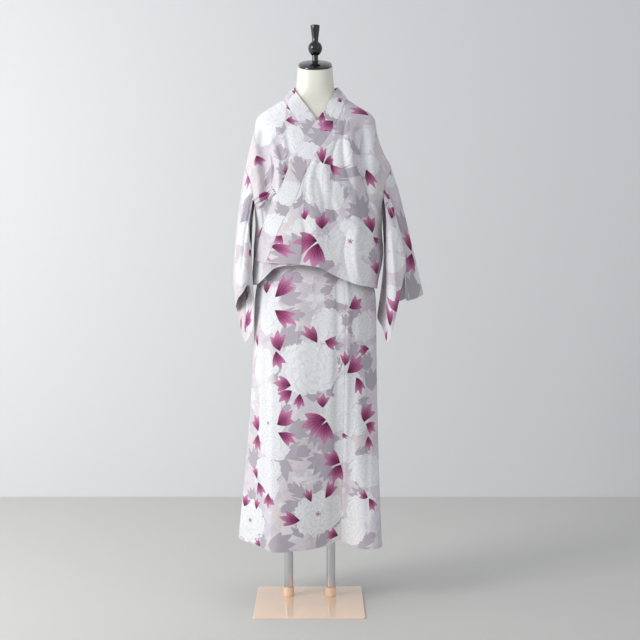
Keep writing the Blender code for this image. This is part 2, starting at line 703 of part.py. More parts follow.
def front_inner_x(side, z):
    """Inner edge of a body length's front: the collar's seam, and the okumi's seam below its tip."""
    if side > 0:
        okumi = np.interp(z, (OKUMI_HEM_Z, LEFT_OKUMI_TIP_Z), LEFT_OKUMI_SEAM_X)
        return np.maximum(collar_seam_x(z, OVER_RUN) + COLLAR_GAP, okumi + SEAM_GAP)
    okumi = np.interp(z, (OKUMI_HEM_Z, RIGHT_OKUMI_TIP_Z), RIGHT_OKUMI_SEAM_X)
    return np.minimum(collar_seam_x(z, UNDER_RUN) - COLLAR_GAP, okumi - SEAM_GAP)


def front_hem_z(side, x):
    """Height of a front's hem at x."""
    hem = LEFT_FRONT_HEM if side > 0 else RIGHT_FRONT_HEM
    return smooth(x, column(hem, "x"), column(hem, "z"))


def over_layer(x, z):
    """How far the left front lies outside the right one: nothing at its side seam and shoulder."""
    inwards = smooth_step((CENTRE_X + LAYER_SIDE - x) / LAYER_SIDE_FADE)
    below = smooth_step((LAYER_TOP_Z - z) / LAYER_TOP_FADE)
    return LAYER_STEP * inwards * below


def tip_shift(side, v, a, z):
    """Small moves of the rows' heights that bring one of them to the okumi's tip at the inner edge."""
    tip_z = LEFT_OKUMI_TIP_Z if side > 0 else RIGHT_OKUMI_TIP_Z
    row = np.argmin(np.where(v[:, 0] > 0.0, np.abs(z[:, 0] - tip_z), 1.0))
    return (tip_z - z[row, 0]) * np.exp(-(((v - v[row]) / TIP_FADE) ** 2)) * (1.0 - a) ** 2


def body_points(side, rows, columns):
    """Grid of one body length: rows run from the back hem over the shoulder to the front hem.

    Each column starts on the shoulder line, from the neck to the sleeve seam. Down from there its height
    falls to the hem, and its place across moves from the shoulder line to an even spread between the inner
    edge and the side edge.
    """
    v = np.linspace(-1.0, 1.0, 2 * rows + 1)[:, None]
    a = np.linspace(0.0, 1.0, columns)[None, :]
    top_z = NECK_SIDE_Z + (SLEEVE_SEAM_Z - NECK_SIDE_Z) * a**SHOULDER_POWER
    top_half = level_value(JACKET_LEVELS, "right" if side > 0 else "left", top_z)
    top_x = CENTRE_X + side * top_half
    down = np.abs(v) ** RIDGE_POWER
    spread = np.sin(a * math.pi / 2.0) * SIDE_SPREAD + a * (1.0 - SIDE_SPREAD)
    x = top_x + 0.0 * v
    z = top_z + 0.0 * v
    for _ in range(4):
        front_hem = front_hem_z(side, x)
        z = top_z + (np.where(v > 0.0, front_hem, BACK_HEM_Z) - top_z) * down
        z = z + tip_shift(side, v, a, z)
        share = level_value(SIDE_EDGES, "share", z)
        outer = CENTRE_X + side * share * jacket_half_width(CENTRE_X + side, z)
        inner = np.where(v > 0.0, front_inner_x(side, z), neck_seam_x(z, side))
        settle = smooth_step(down / (0.004 + 0.30 * a))
        x = top_x + (inner + (outer - inner) * spread - top_x) * settle
    y = np.where(v > 0.0, jacket_y(x, z, "left" if side > 0 else "right"), jacket_y(x, z, "back"))
    y = np.where(np.abs(v) < 1e-9, CENTRE_Y, y)
    joined = smooth_step((SIDE_JOIN_Z - z) / SIDE_JOIN_FADE) * smooth_step((a - 0.8) / 0.2)
    y = y - SEAM_GAP * np.sign(v) * joined
    points = np.stack((x, y, z), axis=2)
    if side > 0:
        points = moved_out(points, np.where(v > 0.0, over_layer(x, z), 0.0))
    return points


def build_okumi(name, side, rows, columns, finish):
    """An okumi: a wall between its seam to the body length and the collar's seam."""
    tip_z = LEFT_OKUMI_TIP_Z if side > 0 else RIGHT_OKUMI_TIP_Z
    seam_x = LEFT_OKUMI_SEAM_X if side > 0 else RIGHT_OKUMI_SEAM_X
    run = OVER_RUN if side > 0 else UNDER_RUN
    down = np.linspace(0.0, 1.0, rows)[:, None]
    a = np.linspace(0.0, 1.0, columns)[None, :]
    start_z = tip_z - OKUMI_TIP
    x = np.zeros((rows, columns))
    z = start_z + 0.0 * a + 0.0 * down
    for _ in range(4):
        body_edge = np.interp(z, (OKUMI_HEM_Z, tip_z), seam_x) - side * SEAM_GAP
        collar_edge = collar_seam_x(z, run) + side * COLLAR_GAP
        x = body_edge + (collar_edge - body_edge) * a
        z = start_z + (front_hem_z(side, x) - start_z) * down
    pieces = "left" if side > 0 else "right"
    normals = front_normals(x, z, pieces)
    layer = over_layer(x, z) if side > 0 else 0.0 * x
    points = np.stack((x, jacket_y(x, z, pieces), z), axis=2) + normals * layer[..., None]
    wall(name, points, finish, normals=normals)


def collar_points(rows, columns):
    """Grid of the collar band, from its seam to its free edge, laid on the front and standing by the neck."""
    lines = collar_lines(rows)
    over = (np.arange(rows) < rows // 2)[:, None]
    stand = np.clip(lines[:, 6, None], 0.0, 1.0)
    seam_z = lines[:, 2, None]
    laid_x = np.where(over, collar_seam_x(seam_z, OVER_RUN), collar_seam_x(seam_z, UNDER_RUN))
    lines[:, 0, None] = lines[:, 0, None] * stand + laid_x * (1.0 - stand)
    c = np.linspace(0.0, 1.0, columns + 1)[None, :]
    seam, edge = lines[:, 0:3, None], lines[:, 3:6, None]
    x, stand_y, z = (seam[:, i] + (edge[:, i] - seam[:, i]) * c for i in range(3))
    laid_y = np.where(over, jacket_y(x, z, "left"), jacket_y(x, z, "right"))
    points = np.stack((x, laid_y * (1.0 - stand) + stand_y * stand, z), axis=2)
    return moved_out(points, np.where(over, over_layer(x, z), 0.0) * (1.0 - stand))


def armhole_points(side, back, z):
    """Points of the body length's side edge at the given heights, just outside it."""
    share = level_value(SIDE_EDGES, "share", z)
    x = CENTRE_X + side * share * jacket_half_width(CENTRE_X + side, z)
    front = "left" if side > 0 else "right"
    y = np.where(back, jacket_y(x, z, "back"), jacket_y(x, z, front))
    return np.stack((x + side * SLEEVE_START, y, z), axis=1)


def sleeve_start(stations, side, at):
    """First ring of a sleeve: along the armhole where it is sewn on, then down its own free edge."""
    count = len(stations)
    rows = []
    for s in stations:
        z = np.array([s.seam_z])
        sewn = armhole_points(side, s.attach > 0, z)[0]
        rows.append(sewn if s.attach else (s.seam_x, s.seam_y, s.seam_z))
    ring = around(at, np.arange(count), rows, count)
    front_end = max(i for i, s in enumerate(stations) if s.attach < 0)
    back_end = min(i for i, s in enumerate(stations) if s.attach > 0)
    sewn = (at <= front_end) | (at >= back_end)
    exact = armhole_points(side, at >= back_end, np.minimum(ring[:, 2], SLEEVE_SEAM_Z))
    return np.where(sewn[:, None], exact, ring)


def sleeve_points(stations, side, rows, columns):
    """Grid of a sleeve, a hanging tube: rows run from the body to the hand opening, columns round it."""
    count = len(stations)
    at = np.arange(columns) * (count / columns)
    mid = around(at, np.arange(count), [(s.mid_x, s.mid_y, s.mid_z) for s in stations], count)
    hand = around(at, np.arange(count), [(s.hand_x, s.hand_y, s.hand_z) for s in stations], count)
    t = np.linspace(0.0, 1.0, rows)[:, None, None]
    from_seam = (1.0 - t) * (1.0 - 2.0 * t)
    from_mid = 4.0 * t * (1.0 - t)
    from_hand = t * (2.0 * t - 1.0)
    return from_seam * sleeve_start(stations, side, at) + from_mid * mid + from_hand * hand


def skirt_heights(rows):
    """Share of the way down at each row: two rows lie under the waistband, the rest are even."""
    band = (SKIRT_TOP_Z - WAISTBAND_Z[0]) / (SKIRT_TOP_Z - SKIRT_HEM_Z)
    return np.concatenate(([0.0, band / 2.0], np.linspace(band, 1.0, rows - 2)))[:, None]


def skirt_surface(angles, down):
    """Points of the skirt at angles round the body, at shares of the way from its top to its hem."""
    knots = column(HEM_STATIONS, "angle")
    hem = around(angles, knots, [(s.x, s.y, s.z) for s in HEM_STATIONS], 360.0)
    low = SKIRT_HEM_Z + (hem[:, 2] - SKIRT_HEM_Z) * smooth_step((down - 0.5) * 2.0)
    z = SKIRT_TOP_Z + (low - SKIRT_TOP_Z) * down
    x_share, y_share = oval_point(angles)
    half = level_value(SKIRT_LEVELS, "half_width", z)
    front = level_value(SKIRT_LEVELS, "front", z)
    back = level_value(SKIRT_LEVELS, "back", z)
    depth = np.where(y_share < 0.0, front, back)
    flare = np.clip((HIP_Z - z) / (HIP_Z - hem[:, 2]), 0.0, 1.0) ** HEM_FLARE_POWER
    x = (CENTRE_X + half * x_share) * (1.0 - flare) + hem[:, 0] * flare
    y = (CENTRE_Y + depth * y_share) * (1.0 - flare) + hem[:, 1] * flare
    return np.stack((x, y, z), axis=2)


def skirt_normals(angles, down):
    """Outward normals of the skirt's surface, from points a little to each side of every point."""
    across = skirt_surface(angles + 0.5, down) - skirt_surface(angles - 0.5, down)
    along = skirt_surface(angles, down + 0.002) - skirt_surface(angles, down - 0.002)
    normals = np.cross(along, across)
    return normals / np.linalg.norm(normals, axis=2, keepdims=True)


def skirt_angles():
    """Angles of the skirt's columns all round, with a pair of columns, a gap apart, at each seam."""
    half_gap = SKIRT_SEAM_ANGLE / 2.0
    runs = []
    for start, end, count in SKIRT_RUNS:
        runs.append(np.linspace(start + half_gap, end - half_gap, count))
    return np.concatenate(runs)


def over_skirt_layer(angles):
    """How far the over layer lies outside: nothing at the right side seam, one layer from there on."""
    return SKIRT_LAYER * smooth_step((RIGHT_SIDE_SEAM - angles) / SKIRT_LAYER_FADE)


def build_skirt(finish):
    """The back lengths, the under layer and the over layer, all cut from one ring of columns."""
    angles = skirt_angles()
    down = skirt_heights(SKIRT_ROWS)
    base = skirt_surface(angles, down)
    out = skirt_normals(angles, down)
    over = base + out * over_skirt_layer(angles)[None, :, None]
    pieces = (
        ("skirt_back_left", RIGHT_SIDE_SEAM, 180.0, base, out),
        ("skirt_back_right", -180.0, LEFT_SIDE_SEAM, base, out),
        ("skirt_front_right", LEFT_SIDE_SEAM, UNDER_SEAM, base, out),
        ("skirt_okumi_right", UNDER_SEAM, UNDER_EDGE, base, out),
        ("skirt_okumi_left", OVER_EDGE, OVER_SEAM, over, out),
        ("skirt_front_left", OVER_SEAM, RIGHT_SIDE_SEAM, over, out),
    )
    for name, start, end, points, normals in pieces:
        columns = np.nonzero((angles > start) & (angles < end))[0]
        wall(name, points[:, columns], finish, normals=normals[:, columns])


def build_waistband(finish):
    """A plain band all round, over the skirt's top."""
    angles = skirt_angles()
    down = skirt_heights(SKIRT_ROWS)[:3]
    out = skirt_normals(angles, down)
    points = skirt_surface(angles, down) + out * WAISTBAND_OUT
    wall("skirt_waistband", points, finish, closed=True, normals=out)


def build_tie(finish):
    """A short tie, rippled along its length, between the collar's edge and the sleeve."""
    t = np.linspace(0.0, 1.0, 8)[:, None]
    c = np.linspace(-0.5, 0.5, 10)[None, :]
    start, end = np.array(TIE_START), np.array(TIE_END)
    along = (end - start) / np.linalg.norm(end - start)
    width = TIE_WIDTH * (0.55 + 0.45 * t)
    x = start[0] + (end[0] - start[0]) * t + along[1] * width * c
    z = start[1] + (end[1] - start[1]) * t - along[0] * width * c
    points = np.stack((x, jacket_y(x, z, "right"), z), axis=2)
    ripple = TIE_RIPPLE * np.sin(c * 3.0 * 2.0 * math.pi + 1.5 * t)
    wall("side_tie", moved_out(points, TIE_OUT + ripple), finish)


def build_jacket(finish):
    """The two body lengths, the okumi, the collar and the sleeves."""
    wall("jacket_body_left", body_points(1, *BODY_GRID), finish)
    wall("jacket_body_right", body_points(-1, *BODY_GRID), finish)
    build_okumi("jacket_okumi_left", 1, 9, 5, finish)
    build_okumi("jacket_okumi_right", -1, 8, 4, finish)
    wall("jacket_collar", collar_points(COLLAR_ROWS, COLLAR_COLUMNS), finish)
    right = sleeve_points(RIGHT_SLEEVE, -1, SLEEVE_ROWS, 4 * len(RIGHT_SLEEVE))
    wall("sleeve_right", right, finish, closed=True, centre=right[..., :2].mean(axis=(0, 1)))
    left = sleeve_points(LEFT_SLEEVE, 1, SLEEVE_ROWS, 4 * len(LEFT_SLEEVE))
    wall("sleeve_left", left, finish, closed=True, centre=left[..., :2].mean(axis=(0, 1)))


def main():
    """Build every piece."""
    remove_everything()
    cotton = material("printed_cotton", (0.80, 0.77, 0.82), 0.85)
    cream = material("cream_form", (0.80, 0.79, 0.70), 0.45)
    black = material("black_lacquer", (0.012, 0.012, 0.013), 0.18)
    chrome = material("chrome_tube", (0.62, 0.63, 0.65), 0.12, 1.0)
    beige = material("beige_enamel", (0.72, 0.60, 0.50), 0.25)
    build_base_plate(beige)
    for name, x in (("left", POLE_SPREAD), ("right", -POLE_SPREAD)):
        build_socket("socket_" + name, x, beige)
        build_pole("pole_" + name, x, chrome)
    build_form(cream)
    build_cap(black)
    turned("finial", FINIAL_TURNS, (CENTRE_X, CENTRE_Y), black, 20, NECK_TILT)
    build_skirt(cotton)
    build_waistband(cotton)
    build_jacket(cotton)
    build_tie(cotton)


main()
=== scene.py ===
"""The looks of a printed cotton yukata, a crossed jacket over a wrap skirt, on a limbless dress form.

Metres, +Z up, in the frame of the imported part: the garment faces -Y and the wearer's left side is at +X.
Every cloth piece is a thin closed shell on a smooth surface that is worked out on a grid, with the creases
pressed into it. The print is drawn in the shader, from coordinates that each motif's place gives to it.
"""

import logging
import math
from dataclasses import dataclass
from enum import Enum
from typing import NamedTuple

import bmesh
import bpy
import numpy as np
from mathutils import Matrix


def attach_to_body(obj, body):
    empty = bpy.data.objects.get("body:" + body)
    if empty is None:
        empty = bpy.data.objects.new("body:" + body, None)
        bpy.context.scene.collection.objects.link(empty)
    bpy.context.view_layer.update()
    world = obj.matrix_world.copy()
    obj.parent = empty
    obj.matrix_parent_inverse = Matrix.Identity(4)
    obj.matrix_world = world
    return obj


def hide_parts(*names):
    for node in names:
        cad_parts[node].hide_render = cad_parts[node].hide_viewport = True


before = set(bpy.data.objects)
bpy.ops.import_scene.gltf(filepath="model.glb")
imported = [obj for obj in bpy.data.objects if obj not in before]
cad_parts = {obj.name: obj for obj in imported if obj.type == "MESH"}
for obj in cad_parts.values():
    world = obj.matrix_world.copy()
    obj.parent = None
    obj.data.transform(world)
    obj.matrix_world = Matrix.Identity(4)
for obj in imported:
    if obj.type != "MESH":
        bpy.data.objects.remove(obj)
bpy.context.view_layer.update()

LOG = logging.getLogger("yukata")
BODY = "root"
Array = np.ndarray
Triple = tuple[float, float, float]
Colour = Triple
Socket, Node, Tree = bpy.types.NodeSocket, bpy.types.Node, bpy.types.NodeTree
Material, Object = bpy.types.Material, bpy.types.Object

# The cloth's thickness, half the gap at a seam, the gap between hard pieces, and the middle of the body
CLOTH = 0.0012
SEAM_GAP = 0.0002
TOUCH_GAP = 0.0004
CENTRE_X = 0.0155
CENTRE_Y = 0.047

# The name of the cloth's UV map, the angles from which edges are sharp, and the least length to divide by
UV_MAP = "Cut"
CLOTH_SHARP = 60.0
RING_SHARP = 35.0
TINY = 1e-9
LEAST_SLOPE = 1e-6

# A crease fades over END_SPAN of its length at both ends, from END_REACH past them
END_REACH = 0.15
END_SPAN = 0.35


class Slot(Enum):
    """The record's material slots."""

    COTTON = "printed_cotton"
    CREAM = "cream_form"
    BLACK = "black_lacquer"
    CHROME = "chrome_tube"
    BEIGE = "beige_enamel"


class Side(Enum):
    """The wearer's sides: the sign is that of X."""

    LEFT = 1
    RIGHT = -1


class Piece(Enum):
    """The surfaces that folds are pressed into."""

    LEFT = "left"
    RIGHT = "right"
    FRONTS = "fronts"
    BACK = "back"


FRONT_OF = {Side.LEFT: Piece.LEFT, Side.RIGHT: Piece.RIGHT}


def smooth_step(t: Array) -> Array:
    """0 up to t = 0, 1 from t = 1, and the S curve 3t^2 - 2t^3 between."""
    t = np.clip(t, 0.0, 1.0)
    return t * t * (3.0 - 2.0 * t)


def bell(off: Array, width: float) -> Array:
    """exp(-(off / width)^2), the section of every fold."""
    return np.exp(-((off / width) ** 2))


def end_fade(t: Array) -> Array:
    """1 along a crease, and 0 a little past both of its ends."""
    return smooth_step((t + END_REACH) / END_SPAN) * smooth_step((1.0 + END_REACH - t) / END_SPAN)


def hermite(t: Array, low: Array, high: Array, low_slope: Array, high_slope: Array) -> Array:
    """The cubic from low to high, whose slopes at its ends are given for the whole span."""
    return (
        (2 * t**3 - 3 * t**2 + 1) * low
        + (t**3 - 2 * t**2 + t) * low_slope
        + (3 * t**2 - 2 * t**3) * high
        + (t**3 - t**2) * high_slope
    )


def smooth(at: Array, knots: list[float], values: list[float]) -> Array:
    """A monotone cubic through (knots, values): each slope is the mean of the two steps beside it, limited.

    Args:
        at: places to read, held at the first and last knot outside them.
        knots: growing places.
        values: the value at each knot.

    Returns:
        The curve's value at each place.
    """
    knots = np.asarray(knots, float)
    values = np.asarray(values, float)
    steps = np.diff(values) / np.diff(knots)
    inner = np.where(steps[:-1] * steps[1:] > 0.0, 0.5 * (steps[:-1] + steps[1:]), 0.0)
    limit = 3.0 * np.minimum(np.abs(steps[:-1]), np.abs(steps[1:]))
    slopes = np.concatenate(([steps[0]], np.clip(inner, -limit, limit), [steps[-1]]))
    at = np.clip(np.asarray(at, float), knots[0], knots[-1])
    i = np.clip(np.searchsorted(knots, at, side="right") - 1, 0, len(knots) - 2)
    width = knots[i + 1] - knots[i]
    t = (at - knots[i]) / width
    return hermite(t, values[i], values[i + 1], slopes[i] * width, slopes[i + 1] * width)


def through(at: Array, knots: Array, rows: Array) -> Array:
    """A rounded curve through rows of coordinates, each slope taken from the rows beside it.

    Args:
        at: places to read.
        knots: growing places, one for each row.
        rows: the coordinates at each knot.

    Returns:
        One row of coordinates for each place.
    """
    knots = np.asarray(knots, float)
    rows = np.asarray(rows, float)
    slopes = np.gradient(rows, knots, axis=0)
    i = np.clip(np.searchsorted(knots, at, side="right") - 1, 0, len(knots) - 2)
    width = (knots[i + 1] - knots[i])[:, None]
    t = (np.asarray(at, float) - knots[i])[:, None] / width
    return hermite(t, rows[i], rows[i + 1], slopes[i] * width, slopes[i + 1] * width)


def around(at: Array, knots: list[float], rows: list, period: float) -> Array:
    """The same rounded curve, closed on itself after the given period."""
    knots = np.asarray(knots, float)
    rows = np.asarray(rows, float)
    wide_knots = np.concatenate((knots[-3:] - period, knots, knots[:3] + period))
    wide_rows = np.concatenate((rows[-3:], rows, rows[:3]))
    turned = knots[0] + np.mod(np.asarray(at, float) - knots[0], period)
    return through(turned, wide_knots, wide_rows)


def table(kind: type, *rows: tuple) -> tuple:
    """A table: each plain row of numbers as one named tuple."""
    return tuple(kind(*row) for row in rows)


def column(rows: tuple, name: str) -> list[float]:
    """One named column of a table."""
    return [getattr(row, name) for row in rows]


def level_value(rows: tuple, name: str, z: Array) -> Array:
    """One named size of a table of sections, at the given heights."""
    return smooth(z, column(rows, "z"), column(rows, name))


@dataclass(frozen=True)
class Oval:
    """A superellipse |x|^p + |y|^p = 1, the section of every part of the body."""

    power: float = 2.3

    def depth(self, across: Array) -> Array:
        """Share of the depth at a share of the half width: (1 - |x|^p)^(1/p)."""
        across = np.clip(np.abs(across), 0.0, 1.0)
        return (1.0 - across**self.power) ** (1.0 / self.power)

    def point(self, angle: Array) -> tuple[Array, Array]:
        """Shares (x, y) of the half sizes at an angle in degrees from the front, growing towards +X.

        Args:
            angle: degrees, 0 at -Y and 90 at +X.

        Returns:
            x = sign(sin a) |sin a|^(2/p) and y = -sign(cos a) |cos a|^(2/p).
        """
        turn = np.radians(angle)
        share = 2.0 / self.power
        x = np.sign(np.sin(turn)) * np.abs(np.sin(turn)) ** share
        y = -np.sign(np.cos(turn)) * np.abs(np.cos(turn)) ** share
        return x, y


OVAL = Oval()


def oval_section(levels: tuple, z: Array, angles: Array) -> tuple[Array, Array]:
    """Offsets (x, y) from the body's middle to a table's oval sections, at heights and angles."""
    x_share, y_share = OVAL.point(angles)
    depth = np.where(y_share < 0.0, level_value(levels, "front", z), level_value(levels, "back", z))
    return level_value(levels, "half_width", z) * x_share, depth * y_share


def ring_angles(count: int) -> Array:
    """Evenly spread angles all round, in degrees."""
    return np.arange(count) * (360.0 / count)


def unit(vectors: Array) -> Array:
    """Each vector of a grid made one long."""
    return vectors / np.maximum(np.linalg.norm(vectors, axis=2, keepdims=True), TINY)


def grid_normals(points: Array, closed: bool = False) -> Array:
    """Unit normals of a grid: the cross product of its slopes along the rows and the columns.

    Args:
        points: the grid, rows by columns by 3.
        closed: whether the last column joins the first.

    Returns:
        One unit vector for each point.
    """
    if closed:
        wide = np.concatenate((points[:, -1:], points, points[:, :1]), axis=1)
        across = wide[:, 2:] - wide[:, :-2]
    else:
        across = np.gradient(points, axis=1)
    return unit(np.cross(np.gradient(points, axis=0), across))


def outward_normals(points: Array, closed: bool = False, centre: Array | None = None) -> Array:
    """The grid's normals, turned to point away from the middle of the body or of the tube."""
    normals = grid_normals(points, closed)
    middle = np.array([CENTRE_X, CENTRE_Y]) if centre is None else centre
    outward = ((points[..., :2] - middle) * normals[..., :2]).sum()
    return normals if outward > 0.0 else -normals


def grid_faces(rows: int, columns: int, closed: bool) -> Array:
    """Corners of the quads of a grid, four indices for each."""
    spans = columns if closed else columns - 1
    r = np.arange(rows - 1)[:, None]
    c = np.arange(spans)[None, :]
    d = (c + 1) % columns
    corners = (r * columns + c, r * columns + d, (r + 1) * columns + d, (r + 1) * columns + c)
    return np.stack([np.broadcast_to(corner, (rows - 1, spans)) for corner in corners], axis=2).reshape(-1, 4)


def rim_of(rows: int, columns: int, closed: bool) -> list[Array]:
    """The grid's free edges, each a run of indices that goes round the grid the way its faces do."""
    top = np.arange(columns)
    bottom = (rows - 1) * columns + np.arange(columns)
    if closed:
        return [np.append(top, top[0]), np.append(bottom, bottom[0])[::-1]]
    right = np.arange(rows) * columns + columns - 1
    left = np.arange(rows) * columns
    return [top, right, bottom[::-1], left[::-1]]


def new_object(name: str, vertices: Array, faces: Array, sharp: float = CLOTH_SHARP) -> Object:
    """A smooth-shaded mesh object from arrays of points and quads."""
    mesh = bpy.data.meshes.new(name)
    mesh.vertices.add(len(vertices))
    mesh.vertices.foreach_set("co", np.asarray(vertices, np.float32).ravel())
    mesh.loops.add(faces.size)
    mesh.loops.foreach_set("vertex_index", np.asarray(faces, np.int32).ravel())
    mesh.polygons.add(len(faces))
    mesh.polygons.foreach_set("loop_start", np.arange(0, faces.size, faces.shape[1], dtype=np.int32))
    mesh.update(calc_edges=True)
    mesh.shade_smooth()
    mesh.set_sharp_from_angle(angle=math.radians(sharp))
    obj = bpy.data.objects.new(name, mesh)
    bpy.context.scene.collection.objects.link(obj)
    return obj


@dataclass
class Shell:
    """A thin closed shell of cloth on a grid, with its place on the cut in metres as its UV map."""

    name: str
    points: Array
    flat: tuple[float, float]
    closed: bool = False
    normals: Array | None = None
    centre: Array | None = None
    uv: Array | None = None
    area: float | None = None

    def __post_init__(self) -> None:
        """Works out the normals and the UV coordinates where they aren't given."""
        if self.normals is None:
            self.normals = outward_normals(self.points, self.closed, self.centre)
        if self.uv is None:
            self.uv = self.measured_uv()

    def measured_uv(self) -> Array:
        """Lengths along the middle row and the middle column, which a cut piece keeps when it is worn."""
        rows, columns = self.points.shape[:2]
        across = np.linalg.norm(np.diff(self.points, axis=1), axis=2).mean(axis=0)
        down = np.linalg.norm(np.diff(self.points, axis=0), axis=2).mean(axis=1)
        u = np.concatenate(([0.0], np.cumsum(across)))[None, :]
        v = np.concatenate(([0.0], np.cumsum(down)))[:, None]
        return np.stack((np.broadcast_to(u, (rows, columns)), np.broadcast_to(v, (rows, columns))), axis=2)

    def build(self, layout: "Layout") -> Object:
        """Makes the shell, half the cloth's thickness to each side, and gives it the print's coordinates.

        Args:
            layout: where the print's motifs lie on this piece.

        Returns:
            The new object, with the UV map and one attribute for each layer of the print.
        """
        rows, columns = self.points.shape[:2]
        half = self.normals * (CLOTH / 2.0)
        count = rows * columns
        vertices = np.concatenate(((self.points + half).reshape(-1, 3), (self.points - half).reshape(-1, 3)))
        outer = grid_faces(rows, columns, self.closed)
        a, b, c, d = (vertices[outer[:, i]] for i in range(4))
        flipped = (np.cross(c - a, d - b) * self.normals.reshape(-1, 3)[outer[:, 0]]).sum() < 0.0
        if flipped:
            outer = outer[:, ::-1]
        faces = [outer, outer[:, ::-1] + count]
        for rim in rim_of(rows, columns, self.closed):
            a, b = (rim[:-1], rim[1:]) if flipped else (rim[1:], rim[:-1])
            faces.append(np.stack((a, b, b + count, a + count), axis=1))
        quads = np.concatenate(faces)
        obj = new_object(self.name, vertices, quads)
        self.give_uv(obj.data, quads, count, layout)
        return obj

    def give_uv(self, mesh: bpy.types.Mesh, quads: Array, count: int, layout: "Layout") -> None:
        """Writes the UV map and the print's layers, face by face.

        Args:
            mesh: the shell's mesh.
            quads: its faces.
            count: how many points its outer side has.
            layout: where the motifs lie.
        """
        flat_uv = self.uv.reshape(-1, 2)
        corners = flat_uv[quads % count].copy()
        if self.closed:
            girth = self.uv[0, -1, 0] + np.linalg.norm(self.points[:, -1] - self.points[:, 0], axis=1).mean()
            wrapped = (corners[..., 0].max(axis=1) - corners[..., 0].min(axis=1)) > girth / 2.0
            low = corners[..., 0] < girth / 2.0
            corners[..., 0] += np.where(wrapped[:, None] & low, girth, 0.0)
        uv_map = mesh.uv_layers.new(name=UV_MAP)
        uv_map.data.foreach_set("uv", corners.reshape(-1).astype(np.float32))
        for layer, values in layout.layers(self, corners).items():
            attribute = mesh.attributes.new(layer, "FLOAT_VECTOR", "CORNER")
            attribute.data.foreach_set("vector", values.reshape(-1).astype(np.float32))


class Level(NamedTuple):
    """An oval section at a height."""

    z: float
    half_width: float
    front: float
    back: float


class JacketLevel(NamedTuple):
    """The jacket's section at a height, with its half widths to the left and the right of the front view."""

    z: float
    left: float
    right: float
    front: float
    back: float


class SideEdge(NamedTuple):
    """Share of the half width that a body length's side edge reaches."""

    z: float
    share: float


class HemPoint(NamedTuple):
    """A front hem's height at x."""

    x: float
    z: float


class CollarPoint(NamedTuple):
    """The band's seam line and free edge; stand is 1 by the neck and 0 on the front."""

    seam_x: float
    seam_y: float
    seam_z: float
    edge_x: float
    edge_y: float
    edge_z: float
    stand: float


class Fold(NamedTuple):
    """A trough (negative depth) or ridge along a slanted line."""

    piece: Piece
    x_top: float
    z_top: float
    x_bottom: float
    z_bottom: float
    width: float
    depth: float


class Station(NamedTuple):
    """A line along a sleeve: where it starts at the body, its middle and its hand end."""

    attach: int
    seam_x: float
    seam_y: float
    seam_z: float
    mid_x: float
    mid_y: float
    mid_z: float
    hand_x: float
    hand_y: float
    hand_z: float


class TubeFold(NamedTuple):
    """A crease along a sleeve: its station and share of the length at both ends, width in stations, depth."""

    at_start: float
    t_start: float
    at_end: float
    t_end: float
    width: float
    depth: float


JACKET_LEVELS = table(
    JacketLevel,
    (0.84, 0.179, 0.169, 0.137, 0.134), (0.89, 0.177, 0.174, 0.136, 0.13),
    (0.96, 0.172, 0.188, 0.134, 0.122), (1.04, 0.17, 0.19, 0.132, 0.112),
    (1.13, 0.186, 0.204, 0.134, 0.103), (1.208, 0.193, 0.211, 0.128, 0.101),
    (1.248, 0.186, 0.192, 0.113, 0.1), (1.28, 0.178, 0.179, 0.094, 0.095),
    (1.315, 0.168, 0.169, 0.075, 0.086), (1.349, 0.1605, 0.1605, 0.058, 0.071),
    (1.364, 0.146, 0.146, 0.053, 0.064), (1.383, 0.1157, 0.1157, 0.052, 0.062),
    (1.4, 0.0897, 0.0897, 0.056, 0.061), (1.42, 0.06, 0.06, 0.06, 0.062),
)

SIDE_EDGES = table(
    SideEdge,
    (0.8, 1.0), (0.985, 1.0), (1.01, 0.985), (1.06, 0.955), (1.13, 0.905), (1.175, 0.93), (1.208, 1.0),
)

LEFT_FRONT_HEM = table(
    HemPoint,
    (-0.16, 0.951), (-0.029, 0.944), (0.024, 0.936), (0.07, 0.913), (0.124, 0.892), (0.19, 0.876),
)

RIGHT_FRONT_HEM = table(
    HemPoint,
    (-0.165, 0.89), (-0.145, 0.89), (-0.131, 0.9), (-0.093, 0.934), (-0.037, 0.942), (0.16, 0.942),
)

